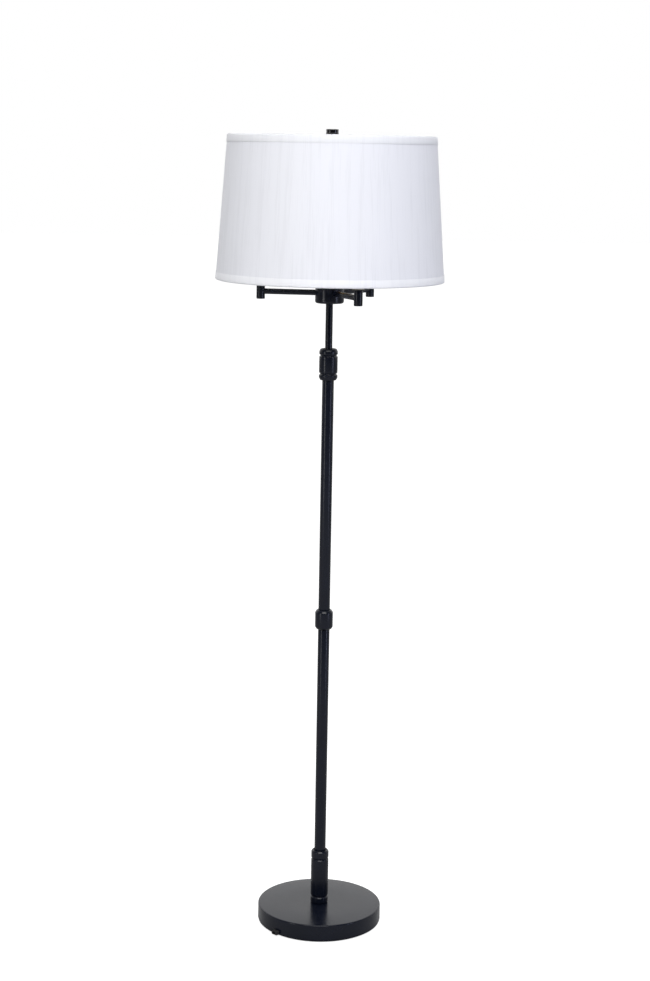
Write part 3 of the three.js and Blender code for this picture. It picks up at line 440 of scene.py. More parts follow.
def make_base():
    low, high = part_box("base_cover")
    radius, inner = high.x, high.x - BASE_WALL
    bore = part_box("threaded_stem")[1].x + GAP
    top = arc((radius - BASE_EDGE, high.z - BASE_EDGE), BASE_EDGE, 0, 90, 8)
    under = arc((inner - BASE_EDGE, high.z - BASE_WALL - BASE_EDGE), BASE_EDGE, 90, 0, 4)
    rim = [(inner + 0.3 * MM, low.z), (radius - 0.3 * MM, low.z), (radius, low.z + 0.3 * MM)]
    steps = rim + top + [(60 * MM, high.z), (bore, high.z), (bore, high.z - BASE_WALL)] + under
    cover = turned("base_cover_steel", steps, sides=FINE, open_ring=True)
    cut_away(cover, bushing_block("cutter", GAP))
    fit(cover, "pole", "base_cover", material=POWDER, slot="black_paint")

    low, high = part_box("bottom_pan")
    radius, bore = high.x, 17 * MM
    rolled = arc((radius - 0.9 * MM, low.z + 0.9 * MM), 0.9 * MM, -90, 0, 4)
    lip = [(radius, high.z), (radius - BASE_WALL, high.z), (radius - BASE_WALL, low.z + BASE_WALL)]
    steps = [(bore, low.z)] + rolled + lip + [(bore, low.z + BASE_WALL)]
    pan = turned("bottom_pan_steel", steps, sides=FINE, open_ring=True)
    cut_away(pan, bushing_block("cutter", GAP))
    fit(pan, "pole", "bottom_pan", material=POWDER, slot="black_paint")

    low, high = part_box("floor_pad")
    pad = tube("floor_pad_felt", 32 * MM, high.x, low.z, high.z, sides=FINE, bevel=0.5 * MM)
    fit(pad, "pole", "floor_pad", material=FELT, slot="felt")


def make_bushing():
    """Rubber bushing: a block through the rim, with a hole for the lead."""
    block = bushing_block("cord_bushing_rubber", 0)
    soften(block, 1.6 * MM, 3)
    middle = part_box("cord_bushing")
    height = (middle[0].z + middle[1].z) / 2
    hole = turned("cutter", [(3.2 * MM, 0.09), (3.2 * MM, 0.15)], sides=SLIM)
    cut_away(block, lay(hole, BUSHING_DIRECTION, height))
    fit(block, "pole", "cord_bushing", material=RUBBER, slot="rubber")


def hex_nut(name, node_name, bore, chamfer=0.8 * MM):
    """A hexagon nut with chamfered corners, from a six-sided cylinder."""
    low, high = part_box(node_name)
    centre = (low + high) / 2
    bpy.ops.object.select_all(action="DESELECT")
    bpy.ops.mesh.primitive_cylinder_add(
        vertices=6, radius=(high.x - low.x) / 2, depth=high.z - low.z, location=centre,
        rotation=(0, 0, math.radians(30)))
    nut = started(name)
    hole = turned("cutter", [(bore, low.z - MM), (bore, high.z + MM)], sides=SLIM)
    cut_away(nut, hole)
    return soften(nut, chamfer / 2, 2, 40)


def make_stem_nut():
    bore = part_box("threaded_stem")[1].x + GAP
    nut = hex_nut("stem_nut_zinc", "stem_nut", bore)
    fit(nut, "pole", "stem_nut", material=ZINC, slot="zinc_steel")


# ------------------------------------------------------------------ pole
POLE_WALL = 1.2 * MM
SLIDE_WALL = MM
GROOVE_WIDTH = 5.4 * MM
COLLAR_RECESS = 2 * MM          # how far a collar's top is turned down round the tube


def groove(radius, middle, depth):
    """Steps of a groove turned with a pointed tool: straight sides and a narrow flat bottom."""
    half, floor = GROOVE_WIDTH / 2, GROOVE_WIDTH * 0.08
    steps = [(radius, middle - half), (radius - depth, middle - floor)]
    return steps + [(r, 2 * middle - z) for r, z in steps[::-1]]


def ringed(name, node_name, body, bore, rings, foot, head, depth):
    """A turned collar: a chamfer, a plain band and a groove at each end, and a recess in its top.

    The bore is its steps from the recess down. Rings are the distances from the lower and upper end
    to the middle of the groove there. The foot and head chamfers are (inwards, along).
    """
    low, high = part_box(node_name)
    radius = high.x
    steps = [(radius - foot[0], low.z), (radius, low.z + foot[1])]
    steps += groove(radius, low.z + rings[0], depth) + groove(radius, high.z - rings[1], depth)
    steps += [(radius, high.z - head[1]), (radius - head[0], high.z)]
    mouth = radius - head[0] - 1.6 * MM
    steps += [(mouth, high.z), (mouth - 0.5 * MM, high.z - COLLAR_RECESS)]
    collar = turned(name, steps + bore, bevel=0.4 * MM, open_ring=True)
    fit(collar, body, node_name, material=POWDER, slot="black_paint")


def make_pole():
    pole_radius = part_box("lower_tube")[1].x
    slide_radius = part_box("slide_tube")[1].x
    for node_name in ("lower_tube", "upper_tube"):
        low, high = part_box(node_name)
        piece = tube(node_name + "_steel", pole_radius - POLE_WALL, pole_radius, low.z, high.z)
        fit(piece, "pole", node_name, material=POWDER, slot="black_paint")
    low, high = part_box("slide_tube")
    slide = tube("slide_tube_steel", slide_radius - SLIDE_WALL, slide_radius, low.z, high.z)
    fit(slide, "light_head", "slide_tube", material=POWDER, slot="black_paint")
    low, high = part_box("base_sleeve")
    bore = [(pole_radius + GAP, high.z - COLLAR_RECESS), (pole_radius + GAP, low.z)]
    ringed("base_sleeve_steel", "base_sleeve", "pole", bore,
           (14.5 * MM, 18 * MM), (1.2 * MM, 2 * MM), (2.3 * MM, 3.2 * MM), 1.5 * MM)
    make_lock_collar(pole_radius + GAP, slide_radius + 0.5 * MM)
    make_middle_collar(pole_radius + GAP)


def make_lock_collar(pole_bore, slide_bore):
    """The twist lock: a lip round the thin tube, a hollow for the collet's head, and a bore below."""
    low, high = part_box("lock_collar")
    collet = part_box("lock_collet")[1]
    lip, hollow, tube_top = collet.z + GAP, collet.x + GAP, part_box("upper_tube")[1].z
    bore = [(slide_bore, high.z - COLLAR_RECESS), (slide_bore, lip), (hollow, lip), (hollow, tube_top)]
    bore += [(pole_bore, tube_top), (pole_bore, low.z)]
    ringed("lock_collar_steel", "lock_collar", "twist_lock", bore,
           (12.6 * MM, 12.8 * MM), (2.6 * MM, 5 * MM), (2 * MM, 4.8 * MM), 2.1 * MM)


def make_middle_collar(bore):
    """The coupling's cover: a short drum with a turned chamfer at each end, its edges well rounded."""
    low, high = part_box("middle_collar")
    radius, along, inwards = high.x, 5 * MM, 3.2 * MM
    steps = [(bore, low.z), (radius - inwards, low.z), (radius, low.z + along)]
    steps += [(radius, high.z - along), (radius - inwards, high.z), (bore, high.z)]
    collar = turned("middle_collar_steel", steps, bevel=1.1 * MM, open_ring=True)
    fit(collar, "pole", "middle_collar", material=POWDER, slot="black_paint")


# ------------------------------------------------------------------ hub and arms
ARMS = ("left", "front", "back")
HUB_EDGE = 4 * MM
HUB_WALL = 2.5 * MM
HUB_FLOOR = 3 * MM
ARM_WALL = MM
KNUCKLE_WALL = 2.8 * MM


def arm_place(name):
    """The middle of an arm's knuckle, as a point."""
    low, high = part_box("arm_knuckle_" + name)
    return (low + high) / 2


def arm_direction(name):
    middle = arm_place(name)
    return math.atan2(middle.y, middle.x)


def make_hub():
    low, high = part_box("hub_body")
    radius, inner = high.x, high.x - HUB_WALL
    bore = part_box("slide_tube")[1].x + GAP
    corner = arc((radius - HUB_EDGE, low.z + HUB_EDGE), HUB_EDGE, -90, 0, 8)
    steps = [(bore, low.z)] + corner + [(radius, high.z), (inner, high.z)]
    steps += [(inner, low.z + HUB_FLOOR), (bore, low.z + HUB_FLOOR)]
    hub = turned("hub_body_steel", steps, bevel=0.3 * MM, open_ring=True)
    arm_radius = arm_size()
    holes = []
    for name in ARMS:
        hole = turned("cutter", [(arm_radius + GAP, 20 * MM), (arm_radius + GAP, 40 * MM)], sides=SLIM)
        holes.append(lay(hole, arm_direction(name), arm_place(name).z))
    shaft_hole = turned("cutter", [(SHAFT_HOLE, 20 * MM), (SHAFT_HOLE, 40 * MM)], sides=SLIM)
    holes.append(lay(shaft_hole, arm_direction("left") + SIDE_SHAFT_TURN, arm_place("left").z))
    cut_away(hub, *holes)
    fit(hub, "light_head", "hub_body", material=POWDER, slot="black_paint")

    low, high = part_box("hub_cap")
    radius, bore = high.x, NIPPLE_BORE
    dome = arc((radius - MM, high.z - MM), MM, 0, 90, 5)
    lip = low.z + 1.2 * MM
    steps = [(bore, low.z), (radius - 2.8 * MM, low.z), (radius - 2.8 * MM, lip), (radius, lip)] + dome
    cap = turned("hub_cap_steel", steps + [(bore, high.z)], open_ring=True)
    fit(cap, "light_head", "hub_cap", material=POWDER, slot="black_paint")


def arm_size():
    low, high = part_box("arm_tube_left")
    return (high.z - low.z) / 2


def to_each_arm(pattern, label, node_start, material, slot):
    """Copies a piece modelled on an arm along X onto the three arms. The label names it by its arm."""
    twins = copies(pattern, *[turn_about_pole(arm_direction(name)) for name in ARMS])
    for name, twin in zip(ARMS, twins):
        twin.name = label % name
        nodes = [node_start + name] if node_start else []
        fit(twin, "light_head", *nodes, material=material, slot=slot)


def make_arms():
    radius = arm_size()
    hub_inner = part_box("hub_body")[1].x - HUB_WALL
    middle = arm_place(ARMS[0])
    reach = math.hypot(middle.x, middle.y)
    knuckle_radius = radius + KNUCKLE_WALL
    start, end = hub_inner - 7.5 * MM, reach - knuckle_radius + 5.1 * MM
    arm = lay(tube("arm", radius - ARM_WALL, radius, start, end), 0, middle.z)
    to_each_arm(arm, "arm_tube_%s_steel", "arm_tube_", POWDER, "black_paint")

    low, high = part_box("arm_knuckle_" + ARMS[0])
    edge, seat = 1.2 * MM, 5.3 * MM
    foot = arc((knuckle_radius - edge, low.z + edge), edge, -90, 0, 5)
    brow = arc((knuckle_radius - edge, high.z - edge), edge, 0, 90, 5)
    steps = [(seat * 0.4, low.z + 0.6 * MM), (seat, low.z + 0.6 * MM), (seat + 0.6 * MM, low.z)]
    steps += foot + brow + [(seat, high.z), (seat, middle.z)]
    knuckle = turned("knuckle", steps, at=(reach, 0))
    hole = turned("cutter", [(radius + GAP, 0.08), (radius + GAP, reach - 3 * MM)], sides=SLIM)
    cut_away(knuckle, lay(hole, 0, middle.z))
    to_each_arm(knuckle, "arm_knuckle_%s_steel", "arm_knuckle_", POWDER, "black_paint")


# ------------------------------------------------------------------ side lights
def glass(name, foot, neck, widest, belly, tip, top, at=(0, 0)):
    """A blown bulb from its neck up to its crown, walled as thin glass and open at the foot."""
    outside = []
    for i in range(14):
        t = i / 13
        outside.append(bezier((neck, foot), (neck, foot + (belly - foot) * 0.4),
                              (widest, belly - (belly - foot) * 0.5), (widest, belly), t))
    for i in range(1, 16):
        t = i / 16
        outside.append(bezier((widest, belly), (widest, belly + (top - belly) * 0.55),
                              (widest * tip, top), (0.0004, top), t))
    wall = 0.9 * MM
    inside = [(max(r - wall, 0.3 * MM), min(z, top - wall)) for r, z in outside][::-1]
    return turned(name, inside + outside, at=at)


def bezier(a, b, c, d, t):
    s = 1 - t
    return tuple(s**3 * a[i] + 3 * s * s * t * b[i] + 3 * s * t * t * c[i] + t**3 * d[i] for i in (0, 1))


def screw_cap(name, radius, low, high, turns, at=(0, 0)):
    """A rolled aluminium screw cap: a rounded thread rolled as rings, and an insulated tip."""
    steps = [(radius * 0.3, low), (radius * 0.45, low)]
    steps += [(radius * 0.55, low + 1.2 * MM), (radius * 0.93, low + 3 * MM)]
    start, pitch = low + 3 * MM, (high - low - 6 * MM) / turns
    for i in range(turns * 6 + 1):
        angle = i / 6
        depth = 0.35 * MM * (1 - math.cos(2 * math.pi * angle))
        steps.append((radius - 0.7 * MM + depth, start + pitch * angle))
    steps += [(radius - 0.4 * MM, high), (radius * 0.3, high)]
    return turned(name, steps, at=at)


CANDLE_CAP = 5.9 * MM
CANDLE_CAP_LENGTH = 20 * MM


def make_side_lights():
    """One side light, modelled on an arm along X: its holder, card sleeve, bulb and the bulb's cap."""
    middle = arm_place(ARMS[0])
    at = (math.hypot(middle.x, middle.y), 0)
    low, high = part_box("candle_holder_" + ARMS[0])
    flange, barrel, stem = (high.x - low.x) / 2, 8 * MM, 4.9 * MM
    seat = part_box("arm_knuckle_" + ARMS[0])[1].z + GAP
    mouth, floor = CANDLE_CAP + GAP, high.z - 19 * MM
    steps = [(stem * 0.5, low.z), (stem, low.z), (stem, seat), (flange, seat), (flange, seat + 2 * MM)]
    steps += [(barrel, seat + 2 * MM), (barrel, high.z), (mouth, high.z)]
    steps += [(mouth, floor), (mouth * 0.5, floor)]
    holder = turned("holder", steps, at=at, sides=SLIM, bevel=0.3 * MM)
    to_each_arm(holder, "candle_holder_%s_phenolic", "candle_holder_", PHENOLIC, "phenolic")

    low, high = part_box("candle_sleeve_" + ARMS[0])
    radius = (high.x - low.x) / 2
    sleeve = tube("sleeve", radius - 1.2 * MM, radius, low.z, high.z, at=at)
    to_each_arm(sleeve, "candle_sleeve_%s_card", "candle_sleeve_", CANDLE, "candle_white")

    low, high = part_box("candle_bulb_" + ARMS[0])
    foot = low.z + CANDLE_CAP_LENGTH
    belly = foot + (high.z - foot) * 0.38
    bulb = glass("bulb", foot, CANDLE_CAP * 0.94, 17.5 * MM, belly, 0.12, high.z, at)
    to_each_arm(bulb, "candle_bulb_%s_glass", "candle_bulb_", OPAL, "opal_glass")
    cap = screw_cap("cap", CANDLE_CAP, low.z, foot, 5, at)
    to_each_arm(cap, "candle_cap_%s", "", ALUMINIUM, "opal_glass")


# ------------------------------------------------------------------ main light
SHELL_WALL = 0.8 * MM           # of the lamp holder's spun brass


def make_main_light():
    low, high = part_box("socket_cap")
    radius, bore = high.x, NIPPLE_BORE
    swell = [bezier((9 * MM, low.z + 1.5 * MM), (12 * MM, low.z + 2 * MM), (radius, low.z + 5 * MM),
                    (radius, low.z + 9 * MM), i / 8) for i in range(9)]
    inner = [(r - SHELL_WALL, z + 0.6 * MM) for r, z in swell][::-1]
    rim = [(radius, high.z - 2 * MM), (radius + 0.3 * MM, high.z - MM), (radius, high.z)]
    steps = [(bore, low.z), (9 * MM, low.z)] + swell + rim
    steps += [(radius - SHELL_WALL, high.z)] + inner + [(bore, low.z + 2.3 * MM)]
    cap = turned("socket_cap_brass", steps, open_ring=True)
    fit(cap, "light_head", "socket_cap", material=BRASS, slot="brass")

    low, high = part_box("socket_shell")
    shell_steps = [(radius - SHELL_WALL, low.z), (radius, low.z)]
    for bead in (low.z + 2 * MM, high.z - 4 * MM):
        for i in range(7):
            shell_steps.append((radius + 0.45 * MM * math.sin(math.pi * i / 6), bead + 2 * MM * i / 6))
    shell_steps += [(radius, high.z), (radius - SHELL_WALL, high.z)]
    shell = turned("socket_shell_brass", shell_steps, open_ring=True)
    knob_low, knob_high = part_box("main_switch_knob")
    shaft_height = (knob_low.z + knob_high.z) / 2
    way = turned("cutter", [(2.7 * MM, 10 * MM), (2.7 * MM, 25 * MM)], sides=SLIM)
    cut_away(shell, lay(way, MAIN_SHAFT_TURN, shaft_height))
    fit(shell, "light_head", "socket_shell", material=BRASS, slot="brass")

    low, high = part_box("socket_core")
    mouth, seat = 13.4 * MM, high.z - 23 * MM
    steps = [(4 * MM, low.z), (15.8 * MM, low.z), (15.8 * MM, high.z), (mouth, high.z)]
    steps += [(mouth, seat), (4 * MM, seat)]
    core = turned("socket_core_phenolic", steps, bevel=0.4 * MM)
    shaft = turned("shaft", [(2.4 * MM, 9 * MM), (2.4 * MM, 26.4 * MM)], sides=SLIM, bevel=0.3 * MM)
    core = weld("socket_core_phenolic", core, lay(shaft, MAIN_SHAFT_TURN, shaft_height))
    fit(core, "light_head", "socket_core", material=PHENOLIC, slot="phenolic")

    low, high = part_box("main_bulb")
    foot = low.z + 26 * MM
    height = high.z - foot
    bulb = glass("main_bulb_glass", foot, 12.3 * MM, 33.5 * MM, foot + height * 0.62, 0.62, high.z)
    fit(bulb, "light_head", "main_bulb", material=OPAL, slot="opal_glass")
    cap = screw_cap("main_bulb_cap", 13.1 * MM, low.z, foot, 6)
    fit(cap, "light_head", material=ALUMINIUM, slot="opal_glass")


KNOBS = {"side_switch_knob": "side_knob", "main_switch_knob": "main_knob"}


def knob_place(node_name):
    """Lays a knob made along Z onto its shaft, which points straight out from the pole."""
    low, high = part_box(node_name)
    centre = (low + high) / 2
    outward_turn = turn_about_pole(math.atan2(centre.y, centre.x))
    return Matrix.Translation(centre) @ outward_turn @ Matrix.Rotation(math.radians(90), 4, "Y")


def make_knobs():
    """The moulded turn knobs: short cylinders whose sides are pressed in between their flutes."""
    length, radius = 14 * MM, 6.2 * MM
    flutes = 18
    bpy.ops.object.select_all(action="DESELECT")
    bpy.ops.mesh.primitive_cylinder_add(vertices=flutes * 2, radius=radius, depth=length)
    knob = started("knob")
    bpy.ops.object.mode_set(mode="EDIT")
    bpy.ops.mesh.select_mode(type="FACE")
    bpy.ops.mesh.select_all(action="DESELECT")
    bpy.ops.object.mode_set(mode="OBJECT")
    step = math.pi / flutes
    for face in knob.data.polygons:
        angle = math.atan2(face.center.y, face.center.x)
        face.select = abs(face.normal.z) < 0.5 and round(angle / step - 0.5) % 2 == 0
    bpy.ops.object.mode_set(mode="EDIT")
    bpy.ops.mesh.inset(thickness=0.25 * MM, depth=-0.45 * MM, use_individual=True)
    bpy.ops.object.mode_set(mode="OBJECT")
    for face in knob.data.polygons:
        face.select = face.normal.z > 0.5 and face.area > radius * radius
    bpy.ops.object.mode_set(mode="EDIT")
    bpy.ops.mesh.inset(thickness=1.2 * MM, depth=0.0)
    bpy.ops.mesh.inset(thickness=0.5 * MM, depth=-0.5 * MM)
    bpy.ops.object.mode_set(mode="OBJECT")
    soften(knob, 0.25 * MM, 2, 35)
    hole = turned("cutter", [(SHAFT_HOLE, -10 * MM), (SHAFT_HOLE, 1.5 * MM)], sides=SLIM)
    cut_away(knob, hole)
    smooth(knob, 30)
    for node_name, twin in zip(KNOBS, copies(knob, *[knob_place(node_name) for node_name in KNOBS])):
        twin.name = node_name + "_phenolic"
        fit(twin, KNOBS[node_name], node_name, material=PHENOLIC, slot="gloss_black")


# ------------------------------------------------------------------ harp
HARP_WIRE = 1.9 * MM
HARP_FOOT = 26 * MM             # half the distance between the harp's feet


def make_harp():
    low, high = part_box("harp")
    half_width = high.x - HARP_WIRE
    seat = high.z - 13 * MM
    crown = seat - 2 * MM
    leg_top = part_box("harp_ferrule_left")[1].z + 2 * HARP_WIRE
    rise = crown - leg_top
    side = [(HARP_FOOT, low.z), (HARP_FOOT, leg_top - 2 * MM), (HARP_FOOT + 8 * MM, leg_top + 16 * MM),
            (half_width * 0.93, leg_top + rise * 0.27), (half_width, leg_top + rise * 0.43),
            (half_width * 0.93, leg_top + rise * 0.62), (half_width * 0.68, leg_top + rise * 0.83),
            (half_width * 0.3, crown - 3.5 * MM)]
    points = [(-x, 0, z) for x, z in side] + [(0, 0, crown)] + [(x, 0, z) for x, z in side[::-1]]
    bow = wire("bow", points, HARP_WIRE)
    plate = turned("plate", [(2 * MM, crown - MM), (8 * MM, crown - MM), (8 * MM, seat), (2 * MM, seat)],
                   sides=SLIM, bevel=0.4 * MM)
    thread = [(1.2 * MM, seat - MM)]
    for i in range(49):
        thread.append((2.75 * MM + 0.22 * MM * math.cos(math.pi * i / 2), seat + 12.2 * MM * i / 48))
    stud = turned("stud", thread + [(2.2 * MM, high.z), (0.8 * MM, high.z)], sides=SLIM)
    harp = weld("harp_brass", bow, plate, stud)
    fit(harp, "light_head", "harp", material=BRASS, slot="brass")

    low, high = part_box("harp_ferrule_right")
    bore, outer = 2.2 * MM, 3.4 * MM
    steps = [(bore, low.z), (outer - 0.5 * MM, low.z), (outer, low.z + MM)]
    for i in range(4):
        ring = low.z + 3 * MM + i * 1.6 * MM
        steps += [(outer, ring), (outer - 0.35 * MM, ring + 0.4 * MM), (outer, ring + 0.8 * MM)]
    steps += [(outer, high.z - MM), (outer - 0.8 * MM, high.z), (bore, high.z)]
    middle = (low.x + high.x) / 2
    ferrule = turned("ferrule", steps, at=(middle, 0), sides=SLIM, open_ring=True)
    twins = copies(ferrule, turn_about_pole(0), turn_about_pole(math.pi))
    for name, twin in zip(("right", "left"), twins):
        twin.name = "harp_ferrule_%s_brass" % name
        fit(twin, "light_head", "harp_ferrule_" + name, material=BRASS, slot="brass")

    make_saddle()


def make_saddle():
    """The harp's saddle: a stamped strap with rounded ends and an upright pin near each."""
    low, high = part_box("harp_saddle")
    strap_top = low.z + 1.5 * MM
    bpy.ops.object.select_all(action="DESELECT")
    bpy.ops.mesh.primitive_cube_add(size=1, location=(0, 0, (low.z + strap_top) / 2))
    strap = bpy.context.object
    strap.scale = (high.x - low.x, high.y - low.y, strap_top - low.z)
    strap = started("strap")
    # Only the four upright edges have a bevel weight, so the flat ones stay square.
    corners = strap.modifiers.new("corners", "BEVEL")
    corners.width = 6 * MM
    corners.segments = 8
    corners.limit_method = "WEIGHT"
    weights = strap.data.attributes.new("bevel_weight_edge", "FLOAT", "EDGE")
    for edge in strap.data.edges:
        a, b = (strap.data.vertices[i].co for i in edge.vertices)
        weights.data[edge.index].value = 1.0 if abs(a.z - b.z) > abs(a.x - b.x) + abs(a.y - b.y) else 0.0
    apply_modifier(strap, corners)
    hole = turned("cutter", [(NIPPLE_BORE, low.z - MM), (NIPPLE_BORE, strap_top + MM)], sides=SLIM)
    cut_away(strap, hole)
    soften(strap, 0.25 * MM, 2, 50)
    steps = [(HARP_WIRE, low.z + 0.5 * MM), (HARP_WIRE, high.z - 0.6 * MM), (HARP_WIRE * 0.6, high.z)]
    pin = turned("pin", steps, at=(HARP_FOOT, 0), sides=SLIM)
    saddle = weld("harp_saddle_brass", strap, *copies(pin, turn_about_pole(0), turn_about_pole(math.pi)))
    fit(saddle, "light_head", "harp_saddle", material=BRASS, slot="brass")


# ------------------------------------------------------------------ shade
TRIM_WIDTH = 15.5 * MM
TRIM_CLOTH = 0.5 * MM
RIM_ROLL = 3 * MM               # radius of the fold over the rim, which wraps the hoop
HEM = 13 * MM                   # how far the fold comes back inside
HEM_INSET = 2.2 * MM            # where the hem lies on the liner
HOOP_WIRE = 1.6 * MM
HOOP_INSET = 3.8 * MM           # the shade's surface to the middle of the wire
CLOTH_THICKNESS = 0.5 * MM
CLOTH_STOP = 2.2 * MM           # how far the cloth and liner end inside each rim
LINER_THICKNESS = 0.5 * MM


def drum_radius(height):
    """Radius of the shade's outer surface, trim included, at a height."""
    low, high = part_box("shade_drum")
    wide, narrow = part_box("bottom_trim")[1].x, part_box("top_trim")[1].x
    # The top trim is widest at its lower edge, a trim's width below the rim.
    slope = (wide - narrow) / (high.z - TRIM_WIDTH - low.z)
    return wide - slope * (height - low.z)


def drum_band(name, low, high, inset, thickness, rings=2, sides=2 * FINE):
    """A band of the shade between two heights, set in from its outer surface."""
    outer = [low + (high - low) * i / (rings - 1) for i in range(rings)]
    steps = [(drum_radius(z) - inset, z) for z in outer]
    steps += [(drum_radius(z) - inset - thickness, z) for z in outer[::-1]]
    return turned(name, steps, sides=sides, open_ring=True)


def lay_cloth_map(piece):
    """Gives the piece a map in metres, u round the drum and v up it, that breaks at the back seam."""
    mesh = piece.data
    low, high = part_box("shade_drum")
    mean = drum_radius((low.z + high.z) / 2)
    layer = mesh.uv_layers.new(name="cloth")
    for face in mesh.polygons:
        turns = []
        for loop in face.loop_indices:
            spot = mesh.vertices[mesh.loops[loop].vertex_index].co
            turns.append(math.atan2(spot.x, -spot.y))
        if max(turns) - min(turns) > math.pi:
            turns = [a + 2 * math.pi if a < 0 else a for a in turns]
        for loop, angle in zip(face.loop_indices, turns):
            spot = mesh.vertices[mesh.loops[loop].vertex_index].co
            layer.data[loop].uv = (angle * mean, spot.z - low.z)


def ripple(piece, depth):
    """Lets hand-rolled cloth stand a few tenths off true, in long soft waves that run up the shade."""
    for vertex in piece.data.vertices:
        spot = vertex.co
        wave = noise.noise(Vector((spot.x * 9, spot.y * 9, spot.z * 4)))
        out = Vector((spot.x, spot.y, 0)).normalized()
        vertex.co = spot + out * depth * wave


def folded_trim(name, rim, side):
    """Trim folded over the hoop: a flat band outside, a round roll over the rim, and a hem glued inside.

    The side is 1 at the top rim and -1 at the bottom one.
    """
    def at(depth, inset):
        height = rim - side * depth
        return drum_radius(height) - inset, height

    steps = [at(TRIM_WIDTH, TRIM_CLOTH), at(TRIM_WIDTH, 0.25 * MM), at(TRIM_WIDTH - 0.5 * MM, 0)]
    steps += roll_over(at, RIM_ROLL)
    behind = [(4.5 * MM, 2 * RIM_ROLL - 1.3 * TRIM_CLOTH), (6 * MM, 3.7 * MM)]
    behind += [(7.6 * MM, HEM_INSET), (HEM, HEM_INSET)]
    steps += [at(depth, inset + TRIM_CLOTH) for depth, inset in behind]
    steps += [at(depth, inset) for depth, inset in behind[::-1]]
    steps += roll_over(at, RIM_ROLL - TRIM_CLOTH)[::-1]
    return turned(name, steps, sides=2 * FINE, open_ring=True)


def roll_over(at, radius):
    """Steps of a half round over the rim, from outside to inside, about the middle of the roll."""
    turns = [math.pi * i / 12 for i in range(13)]
    return [at(RIM_ROLL - radius * math.sin(a), RIM_ROLL - radius * math.cos(a)) for a in turns]


def make_shade():
    low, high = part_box("shade_drum")
    skin_inset = 0.9 * MM
    foot, head = low.z + CLOTH_STOP, high.z - CLOTH_STOP
    cloth = drum_band("shade_cloth", foot, head, skin_inset, CLOTH_THICKNESS, rings=13)
    ripple(cloth, 0.35 * MM)
    lay_cloth_map(cloth)
    fit(cloth, "shade", "shade_drum", material=CLOTH, slot="shade_fabric")

    inset = skin_inset + CLOTH_THICKNESS + 0.2 * MM
    liner = drum_band("shade_liner", foot, head, inset, LINER_THICKNESS, rings=7)
    fit(liner, "shade", material=LINER, slot="shade_fabric")

    rims = {"bottom_trim": (low.z, -1), "top_trim": (high.z, 1)}
    for node_name, (rim, side) in rims.items():
        piece = folded_trim(node_name + "_cloth", rim, side)
        lay_cloth_map(piece)
        fit(piece, "shade", node_name, material=TRIM, slot="shade_trim")
    make_seam(low.z + TRIM_WIDTH, high.z - TRIM_WIDTH, skin_inset)
    make_hoops()


def make_seam(low, high, inset):
    """The lap at the back, where the cloth's end is glued over its start: a thin strip with soft edges."""
    bpy.ops.object.select_all(action="DESELECT")
    bpy.ops.mesh.primitive_grid_add(x_subdivisions=7, y_subdivisions=25, size=1)
    strip = started("shade_seam_cloth")
    width, lift = 11 * MM, 0.35 * MM
    for vertex in strip.data.vertices:
        across, up = vertex.co.x, vertex.co.y + 0.5
        height = low + (high - low) * up
        eased = 1 - max(0.0, (abs(across) - 0.36) / 0.14) ** 2
        radius = drum_radius(height) - inset + lift * eased
        angle = across * width / radius
        vertex.co = (radius * math.sin(angle), radius * math.cos(angle), height)
    thick = strip.modifiers.new("cloth", "SOLIDIFY")
    thick.thickness = 0.5 * MM
    thick.offset = 0
    apply_modifier(strip, thick)
    bpy.ops.object.mode_set(mode="EDIT")
    outward()
    bpy.ops.object.mode_set(mode="OBJECT")
    lay_cloth_map(strip)
    fit(smooth(strip), "shade", material=CLOTH, slot="shade_fabric")


def hoop(name, node_name):
    """A wire hoop inside the fold of a rim, with its height and its radius."""
    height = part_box(node_name)[1].z - HOOP_WIRE
    major = drum_radius(height) - HOOP_INSET
    bpy.ops.object.select_all(action="DESELECT")
    bpy.ops.mesh.primitive_torus_add(
        location=(0, 0, height), major_radius=major, minor_radius=HOOP_WIRE,
        major_segments=2 * FINE, minor_segments=12)
    return smooth(started(name)), height, major


def make_hoops():
    low_hoop = hoop("bottom_hoop_wire", "bottom_hoop")[0]
    fit(low_hoop, "shade", "bottom_hoop", material=ZINC, slot="zinc_steel")
    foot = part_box("shade_spider")[0].z
    ring, height, major = hoop("ring", "shade_spider")
    washer = tube("washer", 3.4 * MM, 16 * MM, foot, foot + 1.6 * MM, bevel=0.4 * MM)
    start = foot + HOOP_WIRE
    path = [(11 * MM, start), (major * 0.25, start + 0.4 * MM), (major * 0.55, (start + height) / 2),
            (major * 0.85, height - 0.4 * MM), (major, height)]
    spoke = wire("spoke", [(reach, 0, rise) for reach, rise in path], HOOP_WIRE)
    turns = [turn_about_pole(math.pi / 2 + i * 2 * math.pi / 3) for i in range(3)]
    spider = weld("shade_spider_brass", ring, washer, *copies(spoke, *turns))
    fit(spider, "shade", "shade_spider", material=BRASS, slot="brass")


def make_finial():
    """The finial: a polished drum on a short neck, with a fine line turned round its middle."""
    low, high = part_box("finial")
    radius, neck, drum_low = high.x, 6 * MM, low.z + 5.4 * MM
    middle = (drum_low + high.z) / 2 + 3 * MM
    bore = 3.4 * MM
    steps = [(bore * 0.4, low.z + 10 * MM), (bore, low.z + 10 * MM), (bore, low.z), (neck, low.z)]
    steps += [(neck - 0.8 * MM, low.z + 2.7 * MM), (neck, drum_low), (radius - MM, drum_low)]
    steps += arc((radius - MM, drum_low + MM), MM, -90, 0, 4)
    steps += [(radius, middle - 0.5 * MM), (radius - 0.5 * MM, middle), (radius, middle + 0.5 * MM)]
    steps += arc((radius - MM, high.z - MM), MM, 0, 90, 4)
    steps += [(radius * 0.4, high.z)]
    piece = turned("finial_enamel", steps)
    fit(piece, "finial", "finial", material=ENAMEL, slot="gloss_black")


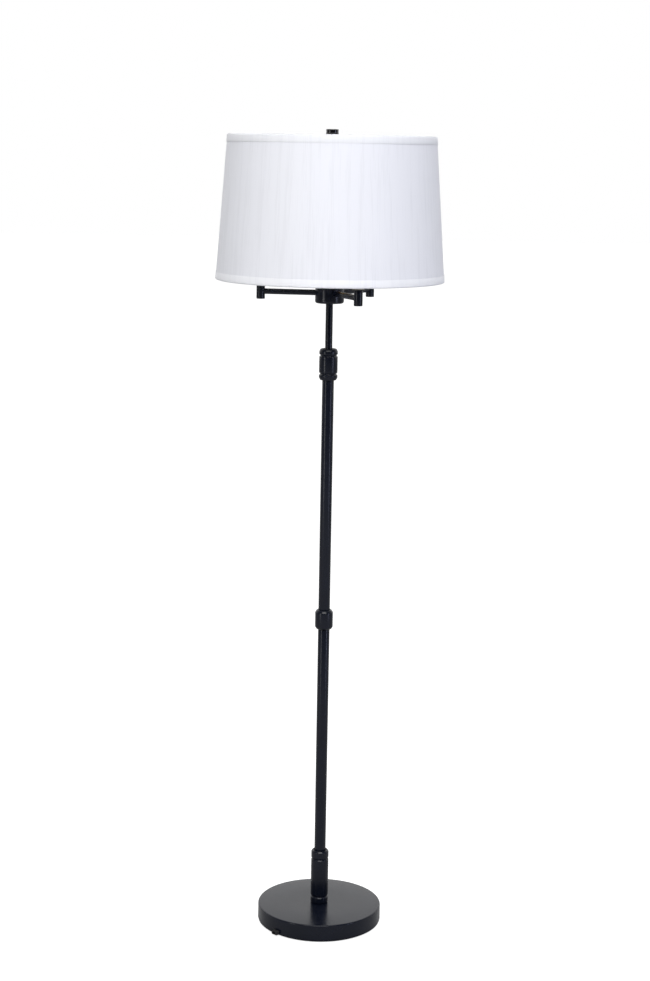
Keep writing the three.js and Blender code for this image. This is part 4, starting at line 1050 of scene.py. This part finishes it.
# ------------------------------------------------------------------ studio
FLOOR_GLOW = 0.8
FRONT_GLOW = 0.03
BACK_GLOW = 1.25


def add_softbox(name, place, aim, size, power, colour="ffffff"):
    """A rectangular soft light at a place, turned to face a point."""
    facing = (Vector(aim) - Vector(place)).to_track_quat("-Z", "Y").to_euler()
    bpy.ops.object.light_add(type="AREA", location=place, rotation=facing)
    lamp = bpy.context.object
    lamp.name = name
    lamp.data.shape = "RECTANGLE"
    lamp.data.size, lamp.data.size_y = size
    lamp.data.energy = power
    lamp.data.color = linear(colour)[:3]


def add_floor():
    """A pale floor, overexposed to white as a studio's sweep is, that casts back only ordinary light."""
    bpy.ops.object.select_all(action="DESELECT")
    bpy.ops.mesh.primitive_plane_add(size=60, location=(0, 0, -0.5 * MM))
    floor = bpy.context.object
    floor.name = "floor"
    made = surface("studio_floor", (0.4, 3, "bababa", "c0c0c0"), Roughness=0.9,
                   Specular_IOR_Level=0.1, Emission_Color=linear("ffffff"))
    seen = node(made, "ShaderNodeLightPath").outputs["Is Camera Ray"]
    glow = node(made, "ShaderNodeMath", {0: seen}, operation="MULTIPLY")
    glow.inputs[1].default_value = FLOOR_GLOW
    shader = made.node_tree.nodes["Principled BSDF"]
    made.node_tree.links.new(glow.outputs[0], shader.inputs["Emission Strength"])
    floor.data.materials.append(made)


def add_world():
    """A white studio: bright behind and above the lamp, dark in front of it where the flags stand."""
    world = bpy.data.worlds.new("studio")
    bpy.context.scene.world = world
    world.use_nodes = True
    where = node(world, "ShaderNodeTexCoord")
    split = node(world, "ShaderNodeSeparateXYZ", {"Vector": where.outputs["Generated"]})
    depth = node(world, "ShaderNodeMapRange", {"Value": split.outputs["Y"]}, From_Min=-0.35,
                 From_Max=0.6, To_Min=FRONT_GLOW, To_Max=BACK_GLOW).outputs["Result"]
    seen = node(world, "ShaderNodeLightPath").outputs["Is Camera Ray"]
    bright = node(world, "ShaderNodeMix", {"Factor": seen, "A": depth}, data_type="FLOAT")
    bright.inputs["B"].default_value = 1.0
    backing = world.node_tree.nodes["Background"]
    backing.inputs["Color"].default_value = linear("ffffff")
    world.node_tree.links.new(bright.outputs[0], backing.inputs["Strength"])


def light_studio():
    add_floor()
    add_world()
    add_softbox("key", (0.1, -3.4, 4.0), (0, 0, 1.45), (4.2, 2.4), 210)
    add_softbox("left_strip", (-2.9, -2.6, 1.0), (0, 0, 0.9), (0.35, 2.0), 20)
    add_softbox("right_strip", (3.3, -1.9, 1.0), (0, 0, 0.9), (0.35, 2.0), 20, "d4dcff")
    bpy.context.scene.view_settings.view_transform = "Standard"


add_camera()
make_base()
make_bushing()
make_stem_nut()
make_pole()
make_hub()
make_arms()
make_side_lights()
make_main_light()
make_knobs()
make_harp()
make_shade()
make_finial()
dress_kept_nodes()
light_studio()
